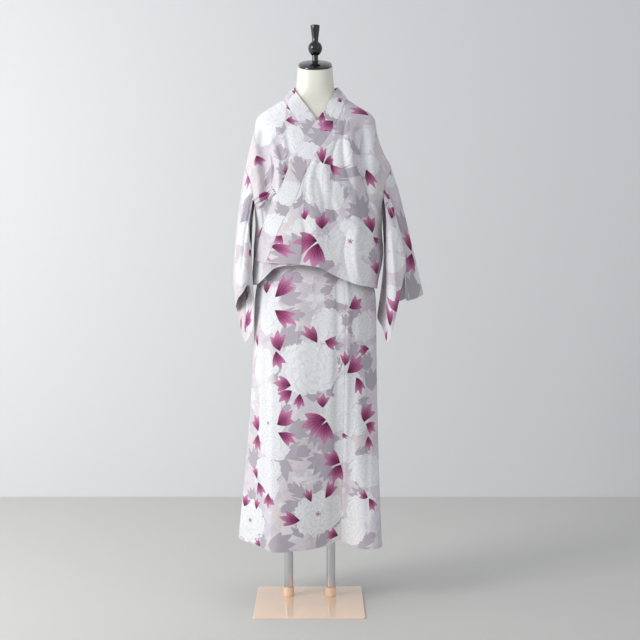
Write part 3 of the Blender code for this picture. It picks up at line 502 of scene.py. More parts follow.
COLLAR_POINTS = table(
    CollarPoint,
    (-0.115, 0.0, 0.949, -0.146, 0.0, 0.954, 0.0), (-0.0715, 0.0, 1.058, -0.113, 0.0, 1.077, 0.0),
    (-0.0362, 0.0, 1.123, -0.079, 0.0, 1.143, 0.0), (-0.0063, 0.0, 1.202, -0.05, 0.0, 1.216, 0.0),
    (0.0181, 0.0, 1.2427, -0.026, 0.0, 1.264, 0.0), (0.0469, 0.0, 1.286, 0.004, 0.0, 1.313, 0.0),
    (0.074, 0.0, 1.333, 0.034, 0.0, 1.357, 0.0), (0.0905, 0.0, 1.372, 0.059, -0.006, 1.4, 0.3),
    (0.0992, 0.047, 1.406, 0.0785, 0.047, 1.435, 1.0), (0.0885, 0.086, 1.403, 0.0735, 0.08, 1.437, 1.0),
    (0.059, 0.106, 1.395, 0.05, 0.106, 1.439, 1.0), (0.0155, 0.112, 1.39, 0.0155, 0.115, 1.44, 1.0),
    (-0.028, 0.106, 1.395, -0.019, 0.106, 1.439, 1.0), (-0.0575, 0.086, 1.403, -0.04, 0.08, 1.437, 1.0),
    (-0.0682, 0.047, 1.406, -0.043, 0.047, 1.434, 1.0), (-0.055, 0.0, 1.372, -0.023, -0.006, 1.397, 0.3),
    (-0.031, 0.0, 1.333, 0.008, 0.0, 1.356, 0.0), (-0.008, 0.0, 1.286, 0.033, 0.0, 1.31, 0.0),
    (0.018, 0.0, 1.243, 0.06, 0.0, 1.264, 0.0), (0.043, 0.0, 1.19, 0.087, 0.0, 1.203, 0.0),
    (0.06, 0.0, 1.12, 0.103, 0.0, 1.128, 0.0), (0.076, 0.0, 1.05, 0.118, 0.0, 1.055, 0.0),
    (0.096, 0.0, 0.94, 0.135, 0.0, 0.942, 0.0),
)

# The runs of COLLAR_POINTS on each front, and the heights of the okumi's tips
COLLAR_RUNS = {Side.LEFT: slice(0, 9), Side.RIGHT: slice(14, 23)}
OKUMI_TIPS = {Side.LEFT: 1.200, Side.RIGHT: 1.150}

# Where each okumi's seam is at the hem and at its tip
OKUMI_SEAMS = {Side.LEFT: (-0.026, -0.0075), Side.RIGHT: (0.036, 0.040)}


def folds_by_piece(rows: dict[Piece, tuple]) -> tuple[Fold, ...]:
    """Folds from plain rows of numbers, given for each surface."""
    return tuple(Fold(piece, *row) for piece, group in rows.items() for row in group)


JACKET_FOLDS = folds_by_piece({
    Piece.RIGHT: (
        (-0.136, 1.345, -0.104, 1.09, 0.016, -0.024), (-0.151, 1.3, -0.14, 1.11, 0.012, 0.007),
    ),
    Piece.LEFT: (
        (0.138, 1.345, 0.15, 1.09, 0.018, -0.02),
    ),
    Piece.FRONTS: (
        (0.06, 1.15, 0.09, 0.88, 0.03, -0.008), (0.125, 1.12, 0.15, 0.87, 0.026, 0.009),
        (0.022, 1.13, 0.014, 0.9, 0.018, 0.005),
    ),
    Piece.BACK: (
        (-0.105, 1.33, -0.075, 0.95, 0.02, -0.012), (0.135, 1.33, 0.105, 0.95, 0.02, -0.012),
        (-0.125, 1.1, -0.13, 0.88, 0.018, 0.008), (0.15, 1.1, 0.15, 0.88, 0.02, 0.009),
        (0.045, 1.05, 0.06, 0.88, 0.02, -0.006), (-0.03, 1.06, -0.035, 0.88, 0.018, -0.005),
    ),
})

RIGHT_SLEEVE = table(
    Station,
    (0, -0.179, 0.047, 1.208, -0.207, 0.046, 1.0, -0.2055, 0.05, 0.833),
    (-1, 0.0, 0.0, 1.172, -0.1985, -0.014, 1.0, -0.197, -0.014, 0.849),
    (-1, 0.0, 0.0, 1.135, -0.182, -0.046, 0.995, -0.183, -0.044, 0.866),
    (0, -0.164, -0.036, 1.06, -0.1645, -0.044, 0.965, -0.164, -0.04, 0.884),
    (0, -0.164, 0.012, 1.0, -0.162, 0.006, 0.9, -0.154, 0.0, 0.78),
    (0, -0.164, 0.07, 0.985, -0.172, 0.04, 0.87, -0.179, 0.026, 0.729),
    (0, -0.164, 0.122, 1.05, -0.18, 0.112, 0.93, -0.197, 0.066, 0.778),
    (1, 0.0, 0.0, 1.135, -0.195, 0.124, 0.985, -0.205, 0.085, 0.808),
    (1, 0.0, 0.0, 1.172, -0.204, 0.094, 1.0, -0.208, 0.072, 0.824),
)

LEFT_SLEEVE = table(
    Station,
    (0, 0.2275, 0.047, 1.208, 0.2765, 0.056, 1.034, 0.3195, 0.075, 0.86),
    (-1, 0.0, 0.0, 1.18, 0.26, 0.016, 1.02, 0.292, 0.05, 0.847),
    (-1, 0.0, 0.0, 1.155, 0.248, -0.008, 1.01, 0.266, 0.012, 0.85),
    (-1, 0.0, 0.0, 1.135, 0.256, -0.034, 1.0, 0.2615, -0.034, 0.925),
    (0, 0.21, -0.032, 1.07, 0.236, -0.05, 0.97, 0.244, -0.042, 0.842),
    (0, 0.21, -0.028, 1.0, 0.216, -0.044, 0.9, 0.218, -0.034, 0.733),
    (0, 0.21, 0.03, 0.965, 0.209, 0.02, 0.88, 0.203, 0.01, 0.768),
    (0, 0.211, 0.12, 1.0, 0.206, 0.112, 0.9, 0.193, 0.098, 0.803),
    (1, 0.0, 0.0, 1.135, 0.236, 0.128, 0.99, 0.246, 0.12, 0.834),
    (1, 0.0, 0.0, 1.172, 0.262, 0.102, 1.02, 0.293, 0.106, 0.852),
)


@dataclass
class Jacket:
    """The crossed jacket: two body lengths, two okumi, the collar band, two sleeves and the side tie."""

    rows: int = 110
    columns: int = 64
    okumi_grid: tuple[int, int] = (70, 20)
    collar_grid: tuple[int, int] = (301, 12)
    sleeve_grid: tuple[int, int] = (90, 168)
    tie_grid: tuple[int, int] = (30, 48)
    rounds: int = 4
    normal_step: float = 0.001
    crease_bow: float = 0.10
    fold_start: float = 0.06
    fold_end: float = 0.10
    fold_loss: float = 0.6
    tube_fade: float = 0.18
    tube_reach: float = 0.3
    shoulder_power: float = 1.1
    curved_share: float = 0.6
    side_z: float = 1.0
    ridge_power: float = 2.2
    layer_step: float = 0.0048
    layer_side: float = 0.178
    layer_side_fade: float = 0.030
    layer_top: float = 1.385
    layer_top_fade: float = 0.050
    back_hem_z: float = 0.886
    sleeve_seam_z: float = 1.208
    neck_side_z: float = 1.4035
    collar_gap: float = 0.0008
    okumi_tip: float = 0.010
    hem_z: float = 0.900
    nape: int = 11
    sleeve_start: float = 0.0016
    tie_start: tuple[float, float] = (-0.094, 1.146)
    tie_end: tuple[float, float] = (-0.143, 1.112)
    tie_width: float = 0.034
    tie_waves: float = 3.0
    tie_ripple: float = 0.0022
    tie_out: float = 0.0046

    def half_width(self, x: Array, z: Array) -> Array:
        """Half width of the section on the side where x lies."""
        left = level_value(JACKET_LEVELS, "left", z)
        right = level_value(JACKET_LEVELS, "right", z)
        return np.where(x < CENTRE_X, left, right)

    def touches(self, fold: Fold, piece: Piece) -> bool:
        """Whether a fold is pressed into a surface."""
        return fold.piece is piece or (fold.piece is Piece.FRONTS and piece is not Piece.BACK)

    def fold_shift(self, x: Array, z: Array, piece: Piece) -> Array:
        """How far the folds move the surface outwards: the sum of depth * fade * bell(x - line, width).

        Args:
            x: places across.
            z: heights.
            piece: the surface, LEFT or RIGHT for a front, or BACK.

        Returns:
            Metres outwards at each place.
        """
        shift = np.zeros(np.broadcast(x, z).shape)
        for fold in JACKET_FOLDS:
            if self.touches(fold, piece):
                down = np.clip((fold.z_top - z) / (fold.z_top - fold.z_bottom), -0.5, 1.5)
                line = fold.x_top + (fold.x_bottom - fold.x_top) * down
                starts = smooth_step((fold.z_top - z) / self.fold_start)
                kept = 1.0 - self.fold_loss * smooth_step((fold.z_bottom - z) / self.fold_end)
                shift += fold.depth * starts * kept * bell(x - line, fold.width)
        for crease in CREASES:
            if self.touches(crease, piece):
                shift += self.crease_shift(crease, x, z)
        return shift

    def crease_shift(self, crease: Fold, x: Array, z: Array) -> Array:
        """A short, bowed crease between two points: depth * bell(distance, width), faded at both ends.

        Args:
            crease: its ends, width and depth.
            x: places across.
            z: heights.

        Returns:
            Metres outwards at each place.
        """
        start = np.array([crease.x_top, crease.z_top])
        along = np.array([crease.x_bottom, crease.z_bottom]) - start
        length = np.linalg.norm(along)
        along = along / length
        t = ((x - start[0]) * along[0] + (z - start[1]) * along[1]) / length
        off = (x - start[0]) * along[1] - (z - start[1]) * along[0]
        bow = self.crease_bow * length * np.sin(np.clip(t, 0.0, 1.0) * math.pi)
        off = off - bow * np.sign(crease.x_top - CENTRE_X)
        return crease.depth * end_fade(t) * bell(off, crease.width)

    def depth(self, x: Array, z: Array, piece: Piece) -> Array:
        """World y of a front or the back at (x, z): the oval's depth with its folds."""
        face = 1.0 if piece is Piece.BACK else -1.0
        half = self.half_width(x, z)
        depth = level_value(JACKET_LEVELS, "back" if piece is Piece.BACK else "front", z)
        share = OVAL.depth((x - CENTRE_X) / half)
        return CENTRE_Y + face * (depth * share + self.fold_shift(x, z, piece) * smooth_step(share * 1.6))

    def front_normals(self, x: Array, z: Array, piece: Piece) -> Array:
        """Outward unit normals of a front: (dy/dx, -1, dy/dz), made one long."""
        step = self.normal_step
        across = (self.depth(x + step, z, piece) - self.depth(x - step, z, piece)) / (2.0 * step)
        along = (self.depth(x, z + step, piece) - self.depth(x, z - step, piece)) / (2.0 * step)
        return unit(np.stack((across, -np.ones_like(across), along), axis=2))

    def collar_lines(self, count: int) -> Array:
        """The collar's seam and edge at evenly spread places along the band."""
        rows = np.array(COLLAR_POINTS)
        middle = 0.5 * (rows[:, 0:3] + rows[:, 3:6])
        middle[:, 1] = np.where(rows[:, 6] > 0.5, middle[:, 1], -0.06)
        steps = np.linalg.norm(np.diff(middle, axis=0), axis=1)
        knots = np.concatenate(([0.0], np.cumsum(steps)))
        return through(np.linspace(0.0, knots[-1], count), knots, rows)

    def collar_seam_x(self, z: Array, side: Side) -> Array:
        """Where the collar's seam crosses a height, on one of its two front runs."""
        points = sorted(COLLAR_POINTS[COLLAR_RUNS[side]], key=lambda point: point.seam_z)
        return smooth(z, column(points, "seam_z"), column(points, "seam_x"))

    def side_x(self, side: Side, z: Array) -> Array:
        """Where a body length's side edge lies at a height."""
        share = level_value(SIDE_EDGES, "share", z)
        return CENTRE_X + side.value * share * self.half_width(CENTRE_X + side.value, z)

    def neck_seam_x(self, z: Array, side: Side) -> Array:
        """Where the collar's seam crosses a height behind the neck."""
        order = range(self.nape, 7, -1) if side is Side.LEFT else range(self.nape, 15)
        points = [COLLAR_POINTS[i] for i in order]
        gap = SEAM_GAP + (self.collar_gap - SEAM_GAP) * smooth_step((z - 1.370) / 0.015)
        return side.value * gap + smooth(z, column(points, "seam_z"), column(points, "seam_x"))

    def okumi_edge(self, side: Side, z: Array) -> Array:
        """The okumi's seam line, straight from the hem to its tip."""
        return np.interp(z, (self.hem_z, OKUMI_TIPS[side]), OKUMI_SEAMS[side])

    def front_inner_x(self, side: Side, z: Array) -> Array:
        """Inner edge of a body length's front: the collar's seam, and the okumi's below its tip."""
        seam = self.collar_seam_x(z, side) + side.value * self.collar_gap
        okumi = self.okumi_edge(side, z) + side.value * SEAM_GAP
        return np.maximum(seam, okumi) if side is Side.LEFT else np.minimum(seam, okumi)

    def front_hem(self, side: Side, x: Array) -> Array:
        """Height of a front's hem at x."""
        hem = LEFT_FRONT_HEM if side is Side.LEFT else RIGHT_FRONT_HEM
        return smooth(x, column(hem, "x"), column(hem, "z"))

    def over_layer(self, x: Array, z: Array) -> Array:
        """How far the left front lies outside the right one: nothing at its side seam and shoulder."""
        inwards = smooth_step((CENTRE_X + self.layer_side - x) / self.layer_side_fade)
        return self.layer_step * inwards * smooth_step((self.layer_top - z) / self.layer_top_fade)

    def body_points(self, side: Side, rows: int, columns: int) -> Array:
        """Grid of one body length, from the back hem over the shoulder to the front hem.

        Each column starts on the shoulder line. Its height falls as |v|^power to the hem, and its place
        across moves from the shoulder line to an even spread between the inner edge and the side edge.

        Args:
            side: the wearer's side.
            rows: spans on each side of the shoulder.
            columns: points across.

        Returns:
            The grid's points.
        """
        v = np.linspace(-1.0, 1.0, 2 * rows + 1)[:, None]
        a = np.linspace(0.0, 1.0, columns)[None, :]
        top_z = self.neck_side_z + (self.sleeve_seam_z - self.neck_side_z) * a**self.shoulder_power
        top_half = level_value(JACKET_LEVELS, "right" if side is Side.LEFT else "left", top_z)
        top_x = CENTRE_X + side.value * top_half
        down = np.abs(v) ** self.ridge_power
        spread = np.sin(a * math.pi / 2.0) * self.curved_share + a * (1.0 - self.curved_share)
        x = top_x + 0.0 * v
        z = top_z + 0.0 * v
        for _ in range(self.rounds):
            hem = np.where(v > 0.0, self.front_hem(side, x), self.back_hem_z)
            z = top_z + (hem - top_z) * down
            outer = self.side_x(side, z)
            inner = np.where(v > 0.0, self.front_inner_x(side, z), self.neck_seam_x(z, side))
            settle = smooth_step(down / (0.004 + 0.30 * a))
            x = top_x + (inner + (outer - inner) * spread - top_x) * settle
        y = np.where(v > 0.0, self.depth(x, z, FRONT_OF[side]), self.depth(x, z, Piece.BACK))
        y = np.where(np.abs(v) < TINY, CENTRE_Y, y)
        y = y - np.sign(v) * SEAM_GAP * smooth_step((self.side_z - z) / 0.02) * smooth_step((a - 0.8) / 0.2)
        points = np.stack((x, y, z), axis=2)
        if side is Side.LEFT:
            layer = np.where(v > 0.0, self.over_layer(x, z), 0.0)
            points = points + outward_normals(points) * layer[..., None]
        return points

    def okumi(self, side: Side, rows: int, columns: int) -> tuple[Array, Array]:
        """Grid and normals of an okumi, between its seam to the body length and the collar's seam."""
        piece = FRONT_OF[side]
        down = np.linspace(0.0, 1.0, rows)[:, None]
        a = np.linspace(0.0, 1.0, columns)[None, :]
        start_z = OKUMI_TIPS[side] - self.okumi_tip
        x = np.zeros((rows, columns))
        z = start_z + 0.0 * a + 0.0 * down
        for _ in range(self.rounds):
            body_edge = self.okumi_edge(side, z) - side.value * SEAM_GAP
            collar_edge = self.collar_seam_x(z, side) + side.value * self.collar_gap
            x = body_edge + (collar_edge - body_edge) * a
            z = start_z + (self.front_hem(side, x) - start_z) * down
        normals = self.front_normals(x, z, piece)
        layer = self.over_layer(x, z) if side is Side.LEFT else 0.0 * x
        return np.stack((x, self.depth(x, z, piece), z), axis=2) + normals * layer[..., None], normals

    def collar_points(self, rows: int, columns: int) -> Array:
        """Grid of the collar band, seam to free edge, laid on the fronts and standing by the neck."""
        lines = self.collar_lines(rows)
        over = (np.arange(rows) < rows // 2)[:, None]
        stand = np.clip(lines[:, 6, None], 0.0, 1.0)
        seam_z = lines[:, 2, None]
        left, right = (self.collar_seam_x(seam_z, side) for side in Side)
        laid_x = np.where(over, left, right)
        lines[:, 0, None] = lines[:, 0, None] * stand + laid_x * (1.0 - stand)
        c = np.linspace(0.0, 1.0, columns)[None, :]
        seam, edge = lines[:, 0:3, None], lines[:, 3:6, None]
        x, stand_y, z = (seam[:, i] + (edge[:, i] - seam[:, i]) * c for i in range(3))
        laid_y = np.where(over, self.depth(x, z, Piece.LEFT), self.depth(x, z, Piece.RIGHT))
        points = np.stack((x, laid_y * (1.0 - stand) + stand_y * stand, z), axis=2)
        layer = np.where(over, self.over_layer(x, z), 0.0) * (1.0 - stand)
        return points + outward_normals(points) * layer[..., None]

    def armhole(self, side: Side, back: Array, z: Array) -> Array:
        """Points just outside the body length's side edge at the given heights."""
        x = self.side_x(side, z)
        y = np.where(back, self.depth(x, z, Piece.BACK), self.depth(x, z, FRONT_OF[side]))
        return np.stack((x + side.value * self.sleeve_start, y, z), axis=1)

    def sleeve_ring(self, stations: tuple, side: Side, at: Array) -> Array:
        """First ring of a sleeve: along the armhole where it is sewn on, then down its own free edge."""
        count = len(stations)
        rows = []
        for s in stations:
            sewn = self.armhole(side, s.attach > 0, np.array([s.seam_z]))[0]
            rows.append(sewn if s.attach else (s.seam_x, s.seam_y, s.seam_z))
        ring = around(at, list(range(count)), rows, count)
        front_end = max(i for i, s in enumerate(stations) if s.attach < 0)
        back_end = min(i for i, s in enumerate(stations) if s.attach > 0)
        sewn = (at <= front_end) | (at >= back_end)
        exact = self.armhole(side, at >= back_end, np.minimum(ring[:, 2], self.sleeve_seam_z))
        return np.where(sewn[:, None], exact, ring)

    def sleeve_points(self, stations: tuple, side: Side, folds: tuple, rows: int, columns: int) -> Array:
        """Grid of a hanging sleeve: each column is the parabola through its seam, middle and hand points.

        Args:
            stations: the lines along the tube.
            side: the wearer's side.
            folds: creases along the tube.
            rows: points from the body to the hand.
            columns: points round it.

        Returns:
            The grid's points, with the creases pressed in along the normals.
        """
        count = len(stations)
        at = np.arange(columns) * (count / columns)
        knots = list(range(count))
        mid = around(at, knots, [(s.mid_x, s.mid_y, s.mid_z) for s in stations], count)
        hand = around(at, knots, [(s.hand_x, s.hand_y, s.hand_z) for s in stations], count)
        t = np.linspace(0.0, 1.0, rows)[:, None, None]
        points = (1.0 - t) * (1.0 - 2.0 * t) * self.sleeve_ring(stations, side, at)
        points = points + 4.0 * t * (1.0 - t) * mid + t * (2.0 * t - 1.0) * hand
        shift = np.zeros((rows, columns))
        down = t[..., 0]
        for fold in folds:
            line = np.interp(down, (fold.t_start, fold.t_end), (fold.at_start, fold.at_end))
            off = np.mod(at[None, :] - line + count / 2.0, count) - count / 2.0
            starts = smooth_step((down - fold.t_start) / self.tube_fade + self.tube_reach)
            ends = smooth_step((fold.t_end - down) / self.tube_fade + self.tube_reach)
            shift += fold.depth * (starts * ends) * bell(off, fold.width)
        centre = points[..., :2].mean(axis=(0, 1))
        return points + outward_normals(points, True, centre) * shift[..., None]

    def tie_points(self) -> Array:
        """Grid of the short tie, rippled along its length."""
        t = np.linspace(0.0, 1.0, self.tie_grid[0])[:, None]
        c = np.linspace(-0.5, 0.5, self.tie_grid[1])[None, :]
        start, end = np.array(self.tie_start), np.array(self.tie_end)
        along = (end - start) / np.linalg.norm(end - start)
        width = self.tie_width * (0.55 + 0.45 * t)
        x = start[0] + (end[0] - start[0]) * t + along[1] * width * c
        z = start[1] + (end[1] - start[1]) * t - along[0] * width * c
        points = np.stack((x, self.depth(x, z, Piece.RIGHT), z), axis=2)
        ripple = self.tie_ripple * np.sin(c * self.tie_waves * 2.0 * math.pi + 1.5 * t)
        return points + outward_normals(points) * (self.tie_out + ripple)[..., None]

    def shells(self) -> list[Shell]:
        """Every cloth shell of the jacket, named for the node that it replaces."""
        made = []
        for side, word, body_cut, okumi_cut in (
            (Side.LEFT, "left", (0.34, 1.13, 0.260), (0.10, 0.27, 0.0130)),
            (Side.RIGHT, "right", (0.33, 1.12, 0.240), (0.062, 0.205, 0.0080)),
        ):
            body = self.body_points(side, self.rows, self.columns)
            made.append(Shell("jacket_body_" + word, body, body_cut[:2], area=body_cut[2]))
            points, normals = self.okumi(side, *self.okumi_grid)
            flat, area = okumi_cut[:2], okumi_cut[2]
            made.append(Shell("jacket_okumi_" + word, points, flat, normals=normals, area=area))
        made.append(Shell("jacket_collar", self.collar_points(*self.collar_grid), (0.050, 1.37)))
        for side, word, stations, folds, cut in (
            (Side.RIGHT, "right", RIGHT_SLEEVE, RIGHT_SLEEVE_FOLDS, (0.33, 0.60, 0.115)),
            (Side.LEFT, "left", LEFT_SLEEVE, LEFT_SLEEVE_FOLDS, (0.34, 0.68, 0.130)),
        ):
            points = self.sleeve_points(stations, side, folds, *self.sleeve_grid)
            centre = points[..., :2].mean(axis=(0, 1))
            made.append(Shell("sleeve_" + word, points, cut[:2], closed=True, centre=centre, area=cut[2]))
        made.append(Shell("side_tie", self.tie_points(), (0.050, 0.080), area=0.0033))
        return made


class HemStation(NamedTuple):
    """Where the skirt's hem is at an angle round the body."""

    angle: float
    x: float
    y: float
    z: float


class SkirtFold(NamedTuple):
    """A crease down the skirt: its angle and share of the way down at both ends, width in degrees, depth."""

    angle_top: float
    down_top: float
    angle_bottom: float
    down_bottom: float
    width: float
    depth: float


@dataclass
class Skirt:
    """The wrap skirt: two back lengths, two fronts, two okumi and the waistband."""

    top_z: float = 1.035
    hem_z: float = 0.165
    hip_z: float = 0.820
    flare_power: float = 1.6
    layer: float = 0.0028
    right_side: float = 97.0
    left_side: float = -94.0
    over_seam: float = 26.0
    over_edge: float = -39.0
    under_seam: float = -20.0
    under_edge: float = 58.0
    seam_angle: float = 0.24
    layer_fade: float = 22.0
    length: float = 0.88
    band_z: float = 0.990
    band_out: float = 0.0050
    band_grid: tuple[int, int] = (6, 240)
    rows: int = 190
    degrees_per_column: float = 1.0
    angle_step: float = 0.5
    down_step: float = 0.002

    def creases(self, angles: Array, down: Array) -> Array:
        """How far the creases move the cloth out: the sum of depth * fade * bell(angle - line, width)."""
        shift = np.zeros(np.broadcast(angles, down).shape)
        for fold in SKIRT_FOLDS:
            t = (down - fold.down_top) / (fold.down_bottom - fold.down_top)
            line = fold.angle_top + (fold.angle_bottom - fold.angle_top) * np.clip(t, -0.2, 1.2)
            off = np.mod(angles - line + 180.0, 360.0) - 180.0
            shift += fold.depth * end_fade(t) * bell(off, fold.width)
        return shift

    def surface(self, angles: Array, down: Array) -> Array:
        """Points of the skirt without its creases.

        Args:
            angles: degrees round the body.
            down: shares of the way from the top to the hem.

        Returns:
            Oval sections down to the hip, which then turn into the hem's curve as share^power.
        """
        hem = around(angles, column(HEM_STATIONS, "angle"), [(s.x, s.y, s.z) for s in HEM_STATIONS], 360.0)
        low = self.hem_z + (hem[:, 2] - self.hem_z) * smooth_step((down - 0.5) * 2.0)
        z = self.top_z + (low - self.top_z) * down
        off_x, off_y = oval_section(SKIRT_LEVELS, z, angles)
        flare = np.clip((self.hip_z - z) / (self.hip_z - hem[:, 2]), 0.0, 1.0) ** self.flare_power
        x = (CENTRE_X + off_x) * (1.0 - flare) + hem[:, 0] * flare
        y = (CENTRE_Y + off_y) * (1.0 - flare) + hem[:, 1] * flare
        return np.stack((x, y, z), axis=2)

    def outward(self, angles: Array, down: Array) -> Array:
        """Outward normals of the smooth surface, from points a little to each side of every point."""
        turn, step = self.angle_step, self.down_step
        across = self.surface(angles + turn, down) - self.surface(angles - turn, down)
        along = self.surface(angles, down + step) - self.surface(angles, down - step)
        return unit(np.cross(along, across))

    def panel(self, name: str, start: float, end: float, cut: tuple[float, float], over: bool) -> Shell:
        """One length of the skirt, half a seam's gap inside its angles on each side.

        Args:
            name: the node that it replaces.
            start: its first seam or edge, in degrees.
            end: its last one.
            cut: the flat piece's width and area.
            over: whether it lies on the outer layer.

        Returns:
            The shell.
        """
        gap = self.seam_angle / 2.0
        count = int((end - start) / self.degrees_per_column) + 2
        angles = np.linspace(start + gap, end - gap, count)
        down = np.linspace(0.0, 1.0, self.rows)[:, None]
        outward = self.outward(angles, down)
        inwards = smooth_step((self.right_side - angles) / self.layer_fade)[None, :]
        layer = self.layer * inwards if over else 0.0
        shift = self.creases(angles[None, :], down) + layer
        points = self.surface(angles, down) + outward * shift[..., None]
        return Shell(name, points, (cut[0], self.length), area=cut[1])

    def band(self) -> Shell:
        """The plain waistband, all round over the skirt's top."""
        angles = np.linspace(-180.0, 180.0, self.band_grid[1], endpoint=False)
        share = (self.top_z - self.band_z) / (self.top_z - self.hem_z)
        down = np.linspace(0.0, share, self.band_grid[0])[:, None]
        outward = self.outward(angles, down)
        points = self.surface(angles, down) + outward * self.band_out
        return Shell("skirt_waistband", points, (0.72, 0.045), closed=True, normals=outward)

    def shells(self) -> list[Shell]:
        """Every cloth shell of the skirt."""
        panels = (
            ("back_left", self.right_side, 180.0, (0.30, 0.215), False),
            ("back_right", -180.0, self.left_side, (0.28, 0.210), False),
            ("front_right", self.left_side, self.under_seam, (0.24, 0.170), False),
            ("okumi_right", self.under_seam, self.under_edge, (0.25, 0.195), False),
            ("okumi_left", self.over_edge, self.over_seam, (0.21, 0.175), True),
            ("front_left", self.over_seam, self.right_side, (0.18, 0.145), True),
        )
        return [self.panel("skirt_" + name, *rest) for name, *rest in panels] + [self.band()]


@dataclass
class Form:
    """The limbless dress form with its neck cap and turned finial."""

    sides: int = 96
    rings: int = 160
    turned_rings: int = 90
    foot_shares: Triple = (0.02, 0.5, 0.985)
    neck_tilt: float = math.radians(20.0)
    neck_top_z: float = 1.4935
    lean_z: float = 1.440
    cap_thickness: float = 0.005
    cap_rim: float = 0.0012
    cap_dome: float = 0.007

    def tilted(self, x: Array, y: Array, z: Array, lean: Array | float) -> Array:
        """Points whose height grows with y by the neck's tilt, times the lean."""
        rise = z + lean * math.tan(self.neck_tilt) * (y - CENTRE_Y)
        return np.stack(np.broadcast_arrays(x, y, rise), axis=2)

    def body(self) -> Array:
        """Rings of the body from its foot to the neck's sloping top: ovals, with a rounded foot."""
        low = FORM_LEVELS[0].z
        count = len(self.foot_shares)
        z = np.concatenate((np.full(count, low), np.linspace(low, self.neck_top_z, self.rings)))[:, None]
        share = np.concatenate((self.foot_shares, np.ones(self.rings)))[:, None]
        off_x, off_y = oval_section(FORM_LEVELS, z, ring_angles(self.sides))
        lean = smooth_step((z - self.lean_z) / (self.neck_top_z - self.lean_z))
        return self.tilted(CENTRE_X + off_x * share, CENTRE_Y + off_y * share, z, lean)

    def cap(self) -> Array:
        """Rings of the oval cap: a rounded rim and a low dome on the neck's slope."""
        rim = np.linspace(0.0, math.pi / 2.0, 7)[1:]
        thick, edge = self.cap_thickness, self.cap_thickness - self.cap_rim
        shares = [0.925, 0.950, 0.960, 0.960, *(0.935 + 0.025 * np.cos(rim))]
        shares += [0.88, 0.72, 0.55, 0.42, 0.25, 0.02]
        heights = [0.0, 0.0006, 0.0015, edge, *(edge + self.cap_rim * np.sin(rim))]
        heights += [thick + self.cap_dome * h for h in (0.25, 0.55, 0.78, 0.90, 1.0, 1.0)]
        x_share, y_share = OVAL.point(ring_angles(self.sides))
        top = FORM_LEVELS[-1]
        share = np.array(shares)[:, None]
        x = CENTRE_X + top.half_width * share * x_share
        y = CENTRE_Y + top.front * share * y_share
        return self.tilted(x, y, self.neck_top_z + TOUCH_GAP + np.array(heights)[:, None], 1.0)

    def finial(self) -> Array:
        """Rings of the turned finial: the smooth curve through its radii, closed at both ends."""
        turns = FINIAL_TURNS
        z = np.linspace(turns[0].z, turns[-1].z, self.turned_rings)
        radius = smooth(z, column(turns, "z"), column(turns, "radius"))
        z = np.concatenate(([z[0]], z, [turns[-1].z + 0.0002, turns[-1].z + 0.0003]))
        radius = np.concatenate(([0.0004], radius, [turns[-1].radius * 0.75, 0.0004]))
        angles = np.radians(ring_angles(self.sides))
        x = CENTRE_X + radius[:, None] * np.sin(angles)
        y = CENTRE_Y - radius[:, None] * np.cos(angles)
        lean = smooth_step((turns[2].z - z) / 0.010)[:, None]
        return self.tilted(x, y, z[:, None], lean)


